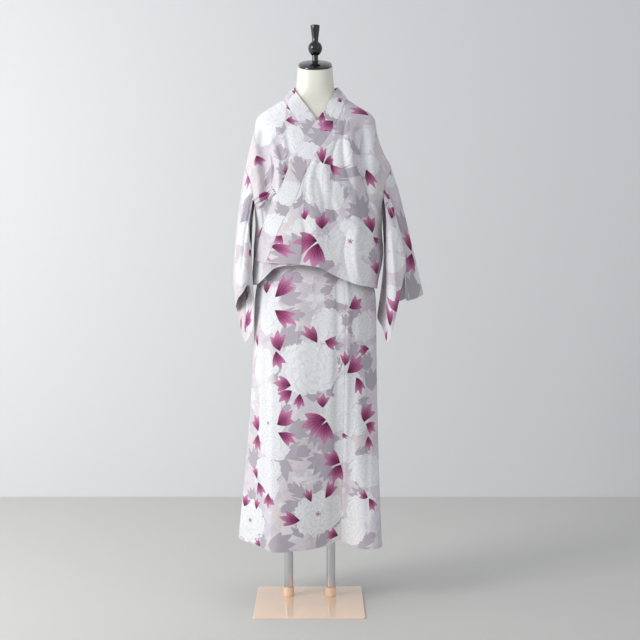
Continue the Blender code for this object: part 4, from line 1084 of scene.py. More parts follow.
@dataclass
class Stand:
    """The steel plate, the two sockets and the two chrome tubes."""

    width: float = 0.300
    depth: float = 0.340
    thickness: float = 0.004
    corner: float = 0.006
    edge: float = 0.0012
    pole_spread: float = 0.0595
    pole_y: float = 0.064
    pole_radius: float = 0.0127
    socket_radius: float = 0.0150
    socket_height: float = 0.025
    foot_z: float = 0.715
    sides: int = 96

    def plate(self) -> Array:
        """Rings of the plate: a rounded rectangle, inset at the rounded edges and closed in the middle."""
        turns = np.linspace(0.0, math.pi / 2.0, 7)
        heights = [0.0, 0.0, 0.0004]
        insets = [0.05, 0.0006, 0.0]
        for turn in turns:
            heights.append(self.thickness - self.edge + self.edge * math.sin(turn))
            insets.append(self.edge * (1.0 - math.cos(turn)))
        heights += [self.thickness, self.thickness]
        insets += [0.02, 0.05]
        corner = np.repeat((0, 1, 2, 3), 10)
        turn = np.radians(corner * 90.0 + np.tile(np.linspace(0.0, 90.0, 10), 4))
        sign_x = np.array((1.0, -1.0, -1.0, 1.0))[corner]
        sign_y = np.array((1.0, 1.0, -1.0, -1.0))[corner]
        rings = []
        for height, inset in zip(heights, insets):
            radius = max(self.corner - inset, 0.0004)
            x = sign_x * (self.width / 2.0 - inset - radius) + radius * np.cos(turn)
            y = sign_y * (self.depth / 2.0 - inset - radius) + radius * np.sin(turn)
            rings.append(np.stack((x, y, np.full_like(x, height)), axis=1))
        return np.array(rings)

    def turned(self, outline: list[tuple[float, float]], x: float) -> Array:
        """Rings of a solid of revolution about a pole's axis."""
        angles = np.radians(ring_angles(self.sides))
        rows = np.array(outline)
        xs = x + rows[:, :1] * np.cos(angles)
        ys = self.pole_y + rows[:, :1] * np.sin(angles)
        return np.stack(np.broadcast_arrays(xs, ys, rows[:, 1:]), axis=2)

    def pole(self, x: float) -> Array:
        """A tube from the plate to the form's foot."""
        low, high = self.thickness + TOUCH_GAP, self.foot_z - TOUCH_GAP
        r = self.pole_radius
        steps = [(r, z) for z in np.linspace(low + 0.001, high - 0.001, 24)]
        return self.turned([(0.001, low), (r - 0.0004, low)] + steps + [(r - 0.0004, high), (0.001, high)], x)

    def socket(self, x: float) -> Array:
        """The socket's wall, with a rounded lip and a set-screw's height of tube above the plate."""
        bore, r = self.pole_radius + TOUCH_GAP, self.socket_radius
        foot = self.thickness + TOUCH_GAP
        top = foot + self.socket_height
        lip = 0.0008
        turns = np.linspace(0.0, math.pi / 2.0, 6)
        outer = [(r - lip + lip * math.cos(t), top - lip + lip * math.sin(t)) for t in turns]
        sides = [(r, z) for z in np.linspace(foot, top - lip, 5)[:-1]]
        inner = [(bore + 0.0003, top), (bore, top - 0.0004), (bore, foot)]
        return self.turned([(bore, foot)] + sides + outer + inner, x)


def ring_object(name: str, rings: Array, capped: bool = True) -> Object:
    """A closed solid through rings of points.

    Args:
        name: the object's name.
        rings: rows of points, each row one closed ring.
        capped: whether both ends are filled; otherwise the last ring lies on the first and they are merged.

    Returns:
        The object, with its faces turned outwards.
    """
    count, sides = rings.shape[:2]
    obj = new_object(name, rings.reshape(-1, 3), grid_faces(count, sides, True), RING_SHARP)
    shape = bmesh.new()
    shape.from_mesh(obj.data)
    bmesh.ops.remove_doubles(shape, verts=shape.verts, dist=1e-6)
    if capped:
        bmesh.ops.holes_fill(shape, edges=[edge for edge in shape.edges if edge.is_boundary], sides=0)
    bmesh.ops.recalc_face_normals(shape, faces=shape.faces)
    shape.to_mesh(obj.data)
    shape.free()
    obj.data.shade_smooth()
    obj.data.set_sharp_from_angle(angle=math.radians(RING_SHARP))
    return obj


class Turn(NamedTuple):
    """The finial's radius at a height."""

    z: float
    radius: float


FINIAL_TURNS = table(
    Turn,
    (1.5068, 0.0096), (1.5115, 0.0084), (1.522, 0.0083), (1.525, 0.0118), (1.53, 0.016), (1.536, 0.0188),
    (1.542, 0.0198), (1.548, 0.0188), (1.554, 0.016), (1.5585, 0.0118), (1.5615, 0.0087), (1.58, 0.0102),
    (1.6, 0.0128), (1.604, 0.0129), (1.6058, 0.0118),
)

FORM_LEVELS = table(
    Level,
    (0.715, 0.142, 0.094, 0.096), (0.722, 0.1465, 0.099, 0.101), (0.76, 0.155, 0.106, 0.109),
    (0.82, 0.159, 0.108, 0.112), (0.9, 0.15, 0.1, 0.106), (0.97, 0.129, 0.09, 0.093),
    (1.03, 0.114, 0.084, 0.08), (1.09, 0.12, 0.096, 0.082), (1.14, 0.133, 0.116, 0.087),
    (1.18, 0.14, 0.121, 0.09), (1.24, 0.144, 0.104, 0.091), (1.29, 0.15, 0.082, 0.084),
    (1.325, 0.153, 0.062, 0.07), (1.348, 0.152, 0.05, 0.058), (1.362, 0.1448, 0.046, 0.052),
    (1.381, 0.1145, 0.045, 0.05), (1.398, 0.0885, 0.048, 0.051), (1.412, 0.066, 0.052, 0.056),
    (1.43, 0.0545, 0.054, 0.056), (1.455, 0.051, 0.053, 0.054), (1.4935, 0.048, 0.05, 0.051),
)

SKIRT_LEVELS = table(
    Level,
    (0.1, 0.1655, 0.114, 0.1185), (0.82, 0.1655, 0.114, 0.1185), (0.9, 0.1565, 0.1065, 0.1125),
    (0.99, 0.1275, 0.0915, 0.092), (1.035, 0.1154, 0.0856, 0.0816), (1.06, 0.1154, 0.0856, 0.0816),
)

HEM_STATIONS = table(
    HemStation,
    (-180.0, 0.0155, 0.212, 0.172), (-163.0, -0.046, 0.196, 0.169), (-146.0, -0.098, 0.19, 0.172),
    (-120.0, -0.168, 0.138, 0.169), (-90.0, -0.1985, 0.062, 0.17), (-68.0, -0.16, 0.006, 0.164),
    (-53.0, -0.13, -0.032, 0.162), (-39.0, -0.104, -0.066, 0.158), (-16.0, -0.045, -0.063, 0.159),
    (2.0, 0.01, -0.044, 0.162), (14.0, 0.05, -0.021, 0.167), (26.0, 0.085, 0.004, 0.176),
    (36.0, 0.112, -0.01, 0.168), (50.0, 0.142, -0.036, 0.161), (68.0, 0.174, -0.04, 0.16),
    (92.0, 0.2015, -0.003, 0.163), (114.0, 0.192, 0.078, 0.168), (133.0, 0.163, 0.15, 0.17),
    (150.0, 0.116, 0.178, 0.168), (165.0, 0.062, 0.196, 0.171),
)


# Deep or short creases of the fronts, the back and the sleeves, beside the main folds
CREASES = folds_by_piece({
    Piece.RIGHT: (
        (-0.128, 1.305, -0.102, 1.14, 0.005, -0.011), (-0.109, 1.29, -0.086, 1.15, 0.008, 0.0078),
        (-0.104, 1.12, -0.07, 1.02, 0.005, -0.0078), (-0.096, 1.125, -0.045, 1.075, 0.005, 0.0059),
        (-0.06, 1.17, -0.02, 1.06, 0.006, -0.0039), (-0.08, 1.13, -0.066, 1.0, 0.006, -0.0047),
        (-0.09, 1.33, -0.072, 1.19, 0.007, 0.0039), (-0.062, 1.3, -0.085, 1.13, 0.006, -0.0029),
        (-0.1, 1.23, -0.105, 1.11, 0.005, -0.0039), (-0.11, 1.1, -0.13, 0.94, 0.006, 0.0046),
        (-0.13, 1.105, -0.15, 0.93, 0.005, -0.0039),
    ),
    Piece.LEFT: (
        (0.141, 1.29, 0.166, 1.11, 0.0055, -0.01), (0.08, 1.29, 0.07, 1.17, 0.006, -0.0047),
        (0.122, 1.33, 0.149, 1.13, 0.01, 0.0065), (0.06, 1.18, 0.11, 1.0, 0.007, -0.0034),
        (0.02, 1.23, 0.012, 1.1, 0.005, 0.0039), (0.112, 1.345, 0.125, 1.19, 0.006, 0.0039),
        (0.095, 1.32, 0.132, 1.12, 0.007, -0.0046), (0.04, 1.26, 0.1, 1.06, 0.01, 0.0036),
        (0.012, 1.2, 0.03, 1.04, 0.006, -0.0031), (0.15, 1.17, 0.16, 1.03, 0.006, 0.0047),
    ),
    Piece.FRONTS: (
        (-0.02, 1.08, -0.024, 0.945, 0.006, -0.0026), (0.105, 1.04, 0.112, 0.9, 0.007, -0.0044),
        (0.135, 1.06, 0.146, 0.89, 0.007, 0.0042),
    ),
    Piece.BACK: (
        (-0.06, 1.32, -0.08, 1.06, 0.008, 0.0046), (0.085, 1.32, 0.11, 1.08, 0.008, 0.0047),
        (-0.12, 1.18, -0.135, 0.93, 0.007, -0.0047), (0.15, 1.2, 0.158, 0.94, 0.008, -0.0052),
        (0.01, 1.1, -0.008, 0.9, 0.009, 0.0039), (0.07, 1.02, 0.088, 0.9, 0.008, 0.0044),
        (-0.055, 1.01, -0.07, 0.9, 0.007, 0.0039),
    ),
})

RIGHT_SLEEVE_FOLDS = table(
    TubeFold,
    (0.6, 0.05, 0.8, 0.95, 0.22, -0.0056), (1.4, 0.1, 1.3, 1.0, 0.2, 0.0045),
    (2.2, 0.0, 2.0, 0.8, 0.18, -0.0045), (3.2, 0.2, 3.5, 1.05, 0.25, 0.0042),
    (5.0, 0.2, 4.8, 0.9, 0.24, -0.0036), (6.6, 0.1, 6.3, 0.95, 0.26, 0.007),
    (7.4, 0.1, 7.5, 1.0, 0.22, -0.007), (8.3, 0.0, 8.1, 0.9, 0.2, 0.0042),
)

LEFT_SLEEVE_FOLDS = table(
    TubeFold,
    (0.4, 0.05, 0.6, 0.95, 0.24, 0.0056), (1.3, 0.0, 1.4, 1.0, 0.22, -0.007),
    (2.1, 0.05, 2.3, 0.8, 0.18, 0.005), (2.9, 0.05, 2.8, 1.05, 0.2, -0.007),
    (4.2, 0.15, 4.4, 0.95, 0.26, 0.0048), (6.0, 0.2, 5.8, 0.9, 0.24, -0.0042),
    (7.6, 0.1, 7.3, 0.95, 0.26, 0.007), (8.4, 0.1, 8.6, 1.0, 0.22, -0.007),
    (9.4, 0.0, 9.3, 0.9, 0.2, 0.0048),
)

SKIRT_FOLDS = table(
    SkirtFold,
    (-66.0, 0.06, -56.0, 0.24, 5.0, 0.004), (-54.0, 0.08, -47.0, 0.2, 4.0, -0.0034),
    (-60.0, 0.3, -58.0, 0.95, 6.0, 0.003), (-42.0, 0.25, -41.0, 0.98, 4.0, 0.002),
    (-10.0, 0.12, -14.0, 0.8, 8.0, 0.0022), (4.0, 0.2, 3.0, 1.0, 6.0, -0.0022),
    (19.0, 0.05, 18.5, 1.05, 3.6, -0.004), (29.5, 0.05, 29.0, 1.05, 3.4, 0.0036),
    (41.0, 0.1, 44.0, 0.9, 5.0, 0.0022), (58.0, 0.1, 60.0, 1.0, 6.0, -0.003),
    (78.0, 0.1, 80.0, 1.0, 6.0, 0.004), (104.0, 0.05, 108.0, 1.05, 7.0, -0.005),
    (124.0, 0.08, 122.0, 1.05, 8.0, 0.006), (141.0, 0.1, 140.0, 1.05, 7.0, -0.005),
    (157.0, 0.05, 158.0, 1.05, 8.0, 0.0055), (174.0, 0.1, 173.0, 1.05, 7.0, -0.004),
    (-168.0, 0.06, -170.0, 1.05, 7.0, 0.0045), (-153.0, 0.1, -154.0, 1.05, 8.0, -0.0055),
    (-136.0, 0.06, -134.0, 1.05, 7.0, 0.005), (-114.0, 0.1, -112.0, 1.05, 8.0, -0.0055),
    (-88.0, 0.12, -90.0, 1.05, 7.0, 0.004),
)


class Motif(NamedTuple):
    """A listed motif: its middle or foot in pixels of the 640 pixel front view, its reach in metres,
    its turn in degrees to the left of upright, and a seed."""

    view_x: float
    view_y: float
    size: float
    turn: float
    seed: float


class TileMotif(NamedTuple):
    """A motif in the print's repeat, in metres across and along the cloth."""

    u: float
    v: float
    size: float
    turn: float
    seed: float


class Layer(Enum):
    """The layers of the print that hold motifs, by the name of their attribute."""

    BLOOM = "Bloom"
    SPRIG = "Sprig"
    TWIG = "Twig"
    LEAF = "Leaf"


# What each number of a plain row is divided by: lengths are in millimetres and seeds in hundredths
SCALES = {Motif: (1, 1, 1000, 1, 100), TileMotif: (1000, 1000, 1000, 1, 100)}


def motifs_by_layer(kind: type, rows: dict[Layer, tuple]) -> dict[Layer, tuple]:
    """Motifs from plain rows of whole numbers.

    Args:
        kind: Motif or TileMotif.
        rows: for each layer, its rows.

    Returns:
        For each layer, its motifs in metres.
    """
    scales = SCALES[kind]
    return {
        layer: tuple(kind(*(number / scale for number, scale in zip(row, scales))) for row in group)
        for layer, group in rows.items()
    }


SKIRT_MOTIFS = motifs_by_layer(Motif, {
    Layer.BLOOM: (
        (309, 368, 88, 0, 10), (327, 327, 52, 0, 32), (264, 296, 44, 0, 45), (269, 317, 50, 0, 27),
        (352, 292, 42, 0, 22), (341, 294, 30, 0, 51), (366, 325, 50, 0, 5), (262, 366, 52, 0, 37),
        (268, 394, 40, 0, 14), (350, 389, 50, 0, 41), (346, 402, 34, 0, 7), (337, 409, 42, 0, 18),
        (268, 413, 46, 0, 30), (268, 423, 52, 0, 71), (273, 445, 50, 0, 16), (266, 471, 42, 0, 50),
        (268, 486, 34, 0, 24), (345, 450, 38, 0, 27), (353, 420, 52, 0, 44), (333, 425, 28, 0, 11),
        (367, 471, 54, 0, 14), (362, 510, 48, 0, 34), (318, 515, 70, 0, 83), (250, 520, 62, 0, 66),
        (350, 532, 46, 0, 3),
    ),
    Layer.SPRIG: (
        (275, 297, 78, -50, 12), (275, 310, 73, -126, 40), (349, 308, 50, -70, 31), (317, 343, 59, 25, 58),
        (280, 351, 59, 22, 22), (291, 386, 50, 75, 66), (300, 394, 45, 172, 13), (323, 408, 42, 10, 51),
        (369, 348, 47, 86, 90), (347, 373, 66, -58, 8), (277, 425, 59, -62, 63), (326, 420, 73, 92, 36),
        (340, 463, 57, 60, 81), (364, 422, 59, -14, 19), (368, 436, 42, 185, 55), (311, 503, 42, 20, 28),
        (300, 522, 59, 85, 70), (338, 536, 40, 70, 47), (369, 499, 42, -142, 44), (244, 506, 40, -15, 97),
        (258, 482, 45, -158, 15), (258, 431, 54, 14, 33), (258, 345, 40, 12, 60),
    ),
    Layer.TWIG: (
        (267, 293, 38, 12, 75), (325, 341, 42, -112, 65), (276, 351, 54, 188, 30), (292, 391, 50, 124, 84),
        (345, 366, 42, -8, 11), (356, 377, 54, -150, 72), (278, 433, 59, -116, 26),
        (327, 422, 66, 164, 93), (341, 465, 57, 146, 3), (366, 424, 42, -108, 49),
        (343, 433, 21, -160, 38), (325, 499, 57, -40, 57), (368, 498, 31, 76, 21), (256, 510, 35, 2, 45),
        (268, 494, 45, 180, 69), (258, 434, 52, 172, 17), (257, 479, 40, 12, 86), (260, 547, 24, 60, 52),
    ),
    Layer.LEAF: (
        (289, 278, 42, -85, 20), (273, 275, 34, 80, 60), (291, 297, 36, -70, 35), (293, 315, 32, -95, 75),
        (291, 338, 46, -62, 10), (332, 276, 32, 90, 50), (330, 290, 28, 88, 85), (335, 306, 34, 78, 30),
        (354, 315, 30, 62, 66), (355, 332, 26, 74, 15), (346, 320, 20, 0, 91), (353, 352, 30, -10, 45),
        (335, 347, 26, -60, 5), (337, 365, 26, 8, 55), (333, 390, 26, -52, 80), (313, 394, 26, 4, 25),
        (279, 373, 28, 0, 70), (371, 378, 38, 4, 40), (361, 402, 36, -68, 12), (273, 396, 30, 90, 33),
        (366, 361, 32, 20, 95), (295, 453, 44, -80, 28), (279, 469, 44, 168, 62), (300, 430, 36, -86, 48),
        (316, 438, 30, 168, 7), (330, 445, 44, -158, 78), (318, 464, 38, 112, 52), (327, 474, 28, 160, 22),
        (363, 452, 26, -68, 88), (359, 478, 30, 8, 38), (297, 492, 32, 52, 58), (317, 489, 24, -18, 18),
        (292, 507, 34, 102, 98), (358, 497, 32, 82, 68), (336, 521, 24, 0, 42), (356, 526, 28, 44, 82),
        (366, 542, 34, -46, 2), (323, 540, 30, -32, 72), (299, 532, 26, 24, 36), (281, 548, 44, -86, 64),
        (260, 542, 30, 18, 92), (261, 521, 24, 10, 46), (284, 412, 26, -30, 16), (252, 494, 24, 20, 76),
        (254, 457, 38, 4, 26),
    ),
})

BODY_MOTIFS = motifs_by_layer(Motif, {
    Layer.BLOOM: (
        (297, 141, 54, 0, 12), (291, 190, 48, 0, 41), (279, 209, 40, 0, 22), (315, 184, 52, 0, 30),
        (330, 196, 44, 0, 17), (338, 153, 48, 0, 7), (350, 242, 70, 0, 74), (326, 249, 34, 0, 20),
        (354, 276, 52, 0, 47), (364, 139, 38, 0, 33), (367, 166, 36, 0, 25), (370, 187, 26, 0, 50),
        (267, 115, 46, 0, 38), (263, 133, 36, 0, 5), (260, 220, 36, 0, 16), (257, 271, 34, 0, 27),
        (304, 228, 30, 0, 44),
    ),
    Layer.SPRIG: (
        (291, 111, 31, 30, 35), (286, 121, 40, -90, 62), (257, 156, 42, 195, 10), (288, 176, 26, 20, 80),
        (323, 165, 50, 14, 27), (330, 166, 45, -128, 55), (368, 116, 47, 64, 90), (266, 222, 66, 178, 43),
        (258, 252, 42, -118, 71), (305, 221, 31, 14, 15), (322, 230, 45, 8, 49), (317, 242, 61, 80, 33),
        (372, 233, 61, 8, 86), (376, 274, 52, -10, 5), (366, 170, 61, 190, 58), (271, 246, 47, -106, 24),
    ),
    Layer.TWIG: (
        (318, 244, 64, 165, 66), (288, 177, 26, 150, 22), (324, 165, 38, -60, 77),
        (373, 237, 35, -130, 39), (282, 236, 31, 140, 94),
    ),
    Layer.LEAF: (
        (298, 169, 44, -10, 30), (282, 129, 32, 80, 55), (280, 153, 28, 6, 20), (283, 170, 24, 40, 81),
        (343, 128, 38, 30, 72), (352, 148, 30, 60, 14), (347, 174, 34, -85, 88), (341, 195, 26, 2, 41),
        (299, 198, 40, -20, 63), (303, 242, 34, 2, 9), (289, 255, 40, 80, 80), (330, 215, 30, 85, 50),
        (355, 213, 32, 80, 26), (363, 207, 36, 4, 94), (325, 264, 30, 82, 36), (373, 256, 30, 16, 60),
        (257, 258, 28, 40, 18), (270, 176, 30, 150, 44), (312, 212, 28, 60, 70),
    ),
})

COLLAR_MOTIFS = motifs_by_layer(Motif, {
    Layer.BLOOM: (
        (337, 110, 34, 0, 21), (298, 106, 36, 0, 35), (309, 152, 32, 0, 48), (288, 194, 40, 0, 16),
        (276, 225, 36, 0, 10),
    ),
    Layer.SPRIG: (
        (295, 95, 31, 10, 42), (323, 113, 42, 160, 11), (333, 122, 47, 130, 66), (341, 103, 17, 40, 80),
        (281, 237, 38, -30, 28),
    ),
    Layer.TWIG: (
        (330, 132, 35, 60, 53), (273, 256, 40, -60, 75),
    ),
    Layer.LEAF: (
        (320, 139, 40, 75, 25), (332, 119, 32, 40, 60), (301, 170, 38, 10, 83), (309, 128, 30, 60, 37),
        (284, 213, 36, 30, 5),
    ),
})

SLEEVE_MOTIFS = motifs_by_layer(Motif, {
    Layer.BLOOM: (
        (394, 240, 46, 0, 31), (392, 262, 38, 0, 15), (384, 175, 36, 0, 50), (391, 299, 36, 0, 24),
        (418, 272, 30, 0, 9), (380, 150, 30, 0, 38), (244, 232, 36, 0, 44), (242, 274, 38, 0, 26),
        (250, 186, 30, 0, 5),
    ),
    Layer.SPRIG: (
        (254, 172, 47, 176, 20), (254, 205, 45, 160, 61), (250, 247, 45, 70, 37), (242, 318, 42, 175, 88),
        (249, 297, 26, 20, 12), (375, 133, 73, 194, 46), (391, 219, 40, 0, 70), (411, 250, 54, 20, 29),
        (390, 326, 47, 8, 56), (386, 341, 31, 4, 93), (399, 317, 66, -10, 7), (382, 285, 26, 0, 77),
    ),
    Layer.TWIG: (
        (394, 181, 50, 190, 33), (387, 198, 35, 20, 68), (411, 252, 52, 172, 17), (386, 173, 21, -60, 52),
        (250, 249, 40, -150, 81), (254, 328, 28, 0, 26),
    ),
    Layer.LEAF: (
        (413, 284, 44, 8, 22), (419, 258, 34, -10, 58), (404, 298, 32, 14, 3), (378, 205, 36, 10, 75),
        (402, 222, 34, 12, 90), (246, 201, 34, 5, 13), (243, 305, 36, 10, 40), (252, 226, 28, 0, 66),
    ),
})

PLACED = {
    **dict.fromkeys(("skirt_front_right", "skirt_okumi_left", "skirt_front_left"), SKIRT_MOTIFS),
    **dict.fromkeys(("jacket_body_left", "jacket_body_right", "jacket_okumi_left"), BODY_MOTIFS),
    **dict.fromkeys(("sleeve_left", "sleeve_right"), SLEEVE_MOTIFS),
    "jacket_collar": COLLAR_MOTIFS,
}

TILE = motifs_by_layer(TileMotif, {
    Layer.BLOOM: (
        (60, 80, 75, 0, 20), (230, 60, 50, 40, 45), (150, 230, 66, 80, 70), (320, 270, 52, 10, 5),
        (50, 360, 50, 120, 33), (240, 430, 70, 60, 86), (110, 490, 40, 20, 52),
    ),
    Layer.SPRIG: (
        (130, 110, 60, -60, 15), (20, 160, 44, 150, 62), (290, 90, 48, -30, 34), (90, 270, 46, 70, 81),
        (220, 290, 52, -120, 49), (340, 340, 42, 170, 27), (100, 400, 48, -80, 93),
        (310, 470, 50, -100, 8), (180, 510, 44, 20, 56),
    ),
    Layer.TWIG: (
        (110, 40, 36, 20, 71), (180, 160, 38, 30, 23), (260, 210, 34, -10, 47), (20, 300, 36, 110, 65),
        (170, 380, 40, 50, 12), (330, 400, 36, -40, 88),
    ),
    Layer.LEAF: (
        (160, 30, 56, 70, 30), (300, 150, 60, 20, 60), (60, 200, 56, -50, 10), (230, 340, 62, 80, 80),
        (20, 430, 56, 10, 50), (150, 450, 50, -70, 20), (350, 500, 54, 40, 90), (360, 210, 46, 100, 44),
    ),
})

# The layers whose motifs spread from a foot, not from their middle
FOOTED = (Layer.SPRIG, Layer.TWIG)

# The coordinates where no motif is near
FAR = (9.0, 9.0, 0.0)


@dataclass(frozen=True)
class View:
    """The photograph's view as a level pinhole: pixels are focal length times offset over distance."""

    focal: float = 1313.0
    middle_x: float = 320.0
    middle_y: float = 190.6
    x: float = 0.029
    z: float = 1.146
    distance: float = 3.636


VIEW = View()


@dataclass
class Layout:
    """Where the print's motifs lie: listed one by one on what shows in front, and by the repeat elsewhere."""

    tile_width: float = 0.37
    tile_length: float = 0.52
    reach: float = 1.7
    start_step: tuple[float, float] = (0.083, 0.137)
    seed_step: tuple[float, float] = (0.37, 0.21)
    margin: float = 0.1
    behind_cost: float = 0.05
    front_limit: float = 0.1
    back_limit: float = 0.15
    foot_shift: float = 0.5
    foot_weight: float = 1.3

    def placed(self, shell: Shell, rows: tuple) -> Array:
        """The listed motifs as (u, v, four numbers of the turn into the motif's own axes, seed).

        Each is put at the front-facing grid point nearest to it in the view, and keeps its upright direction.

        Args:
            shell: the cloth.
            rows: the motifs.

        Returns:
            One row of seven numbers for each motif.
        """
        points, uv = shell.points, shell.uv
        cost = np.where(shell.normals[..., 1] < self.front_limit, 0.0, self.behind_cost)
        steps = (np.gradient(uv[..., 0], axis=1), np.gradient(uv[..., 1], axis=0))
        slope_u = np.gradient(points, axis=1) / np.maximum(steps[0], LEAST_SLOPE)[..., None]
        slope_v = np.gradient(points, axis=0) / np.maximum(steps[1], LEAST_SLOPE)[..., None]
        made = []
        distance = points[..., 1] + VIEW.distance
        view_x = VIEW.middle_x + (points[..., 0] - VIEW.x) * VIEW.focal / distance
        view_y = VIEW.middle_y - (points[..., 2] - VIEW.z) * VIEW.focal / distance
        for row in rows:
            off_x = (row.view_x - view_x) * distance / VIEW.focal
            off_z = (view_y - row.view_y) * distance / VIEW.focal
            away = np.hypot(off_x, off_z) + cost
            i, j = np.unravel_index(np.argmin(away), away.shape)
            if away[i, j] > row.size:
                continue
            normal = shell.normals[i, j]
            right = np.array([1.0, 0.0, 0.0]) - normal * normal[0]
            right /= max(np.linalg.norm(right), LEAST_SLOPE)
            up = np.cross(right, normal)
            up = up * (1.0 if up[2] > 0.0 else -1.0)
            e_u = slope_u[i, j] / np.linalg.norm(slope_u[i, j])
            e_v = slope_v[i, j] / np.linalg.norm(slope_v[i, j])
            to_surface = np.array([[e_u @ right, e_v @ right], [e_u @ up, e_v @ up]])
            cos, sin = math.cos(math.radians(row.turn)), math.sin(math.radians(row.turn))
            turned = np.array([[cos, sin], [-sin, cos]]) @ to_surface
            offset = np.array([off_x[i, j], off_z[i, j]])
            shift = np.linalg.lstsq(to_surface, offset, rcond=None)[0]
            u, v = uv[i, j] + shift
            made.append((u, v, *(turned / row.size).ravel(), row.seed))
        return np.array(made).reshape(-1, 7)

    def repeated(self, shell: Shell, rows: tuple) -> Array:
        """The repeat's motifs laid over the whole piece, from a place in the cloth that its name gives."""
        tile = (self.tile_width, self.tile_length)
        start = [len(shell.name) * step % side for step, side in zip(self.start_step, tile)]
        size = shell.uv.reshape(-1, 2).max(axis=0) + self.margin
        made = []
        for i in range(-1, int(size[0] / self.tile_width) + 2):
            for j in range(-1, int(size[1] / self.tile_length) + 2):
                for row in rows:
                    cos, sin = math.cos(math.radians(row.turn)), math.sin(math.radians(row.turn))
                    u = (i + (0.5 if j % 2 else 0.0)) * self.tile_width + row.u - start[0]
                    v = j * self.tile_length + row.v - start[1]
                    turned = np.array((cos, sin, sin, -cos)) / row.size
                    seed = (row.seed + self.seed_step[0] * i + self.seed_step[1] * j) % 1.0
                    made.append((u, v, *turned, seed))
        return np.array(made).reshape(-1, 7)

    def motifs(self, shell: Shell, layer: Layer) -> Array:
        """The motifs of one layer on one piece."""
        node = shell.name.removesuffix("_cloth")
        repeat = self.repeated(shell, TILE[layer])
        if node not in PLACED:
            return repeat
        rows = self.placed(shell, PLACED[node][layer])
        if shell.closed or node.startswith("jacket"):
            rows = np.concatenate((rows, repeat[self.behind(shell, repeat)]))
        return rows

    def behind(self, shell: Shell, rows: Array) -> Array:
        """Whether each of the repeat's motifs lies where the piece faces away from the front."""
        uv = shell.uv.reshape(-1, 2)
        facing = shell.normals[..., 1].ravel()
        near = np.argmin(((rows[:, None, :2] - uv[None, ::7]) ** 2).sum(axis=2), axis=1)
        return facing[::7][near] > self.back_limit

    def layers(self, shell: Shell, corners: Array) -> dict[str, Array]:
        """Each layer's coordinates in the axes of the motif that is nearest to each face.

        Args:
            shell: the cloth.
            corners: the faces' UV coordinates, faces by corners by 2.

        Returns:
            For each attribute's name, (x, y, seed) at every corner, with x and y in the motif's reach.
        """
        made = {}
        middle = corners.mean(axis=1)
        for layer in Layer:
            rows = self.motifs(shell, layer)
            values = np.broadcast_to(np.array(FAR), (*corners.shape[:2], 3)).copy()
            best = np.full(len(corners), self.reach)
            for u, v, a, b, c, d, seed in rows:
                off = middle - (u, v)
                x, y = a * off[:, 0] + b * off[:, 1], c * off[:, 0] + d * off[:, 1]
                distance = np.hypot(x, y)
                if layer in FOOTED:
                    distance = np.hypot(x, y - self.foot_shift) * self.foot_weight
                closer = distance < best
                if not closer.any():
                    continue
                best[closer] = distance[closer]
                local = corners[closer] - (u, v)
                values[closer, :, 0] = a * local[..., 0] + b * local[..., 1]
                values[closer, :, 1] = c * local[..., 0] + d * local[..., 1]
                values[closer, :, 2] = seed
            made[layer.value] = values
        return made


def linear(red: float, green: float, blue: float) -> Colour:
    """A colour given as 0 to 255 values on a screen, turned into light: ((c + 0.055) / 1.055)^2.4."""
    shares = [value / 255.0 for value in (red, green, blue)]
    return tuple(s / 12.92 if s <= 0.04045 else ((s + 0.055) / 1.055) ** 2.4 for s in shares)


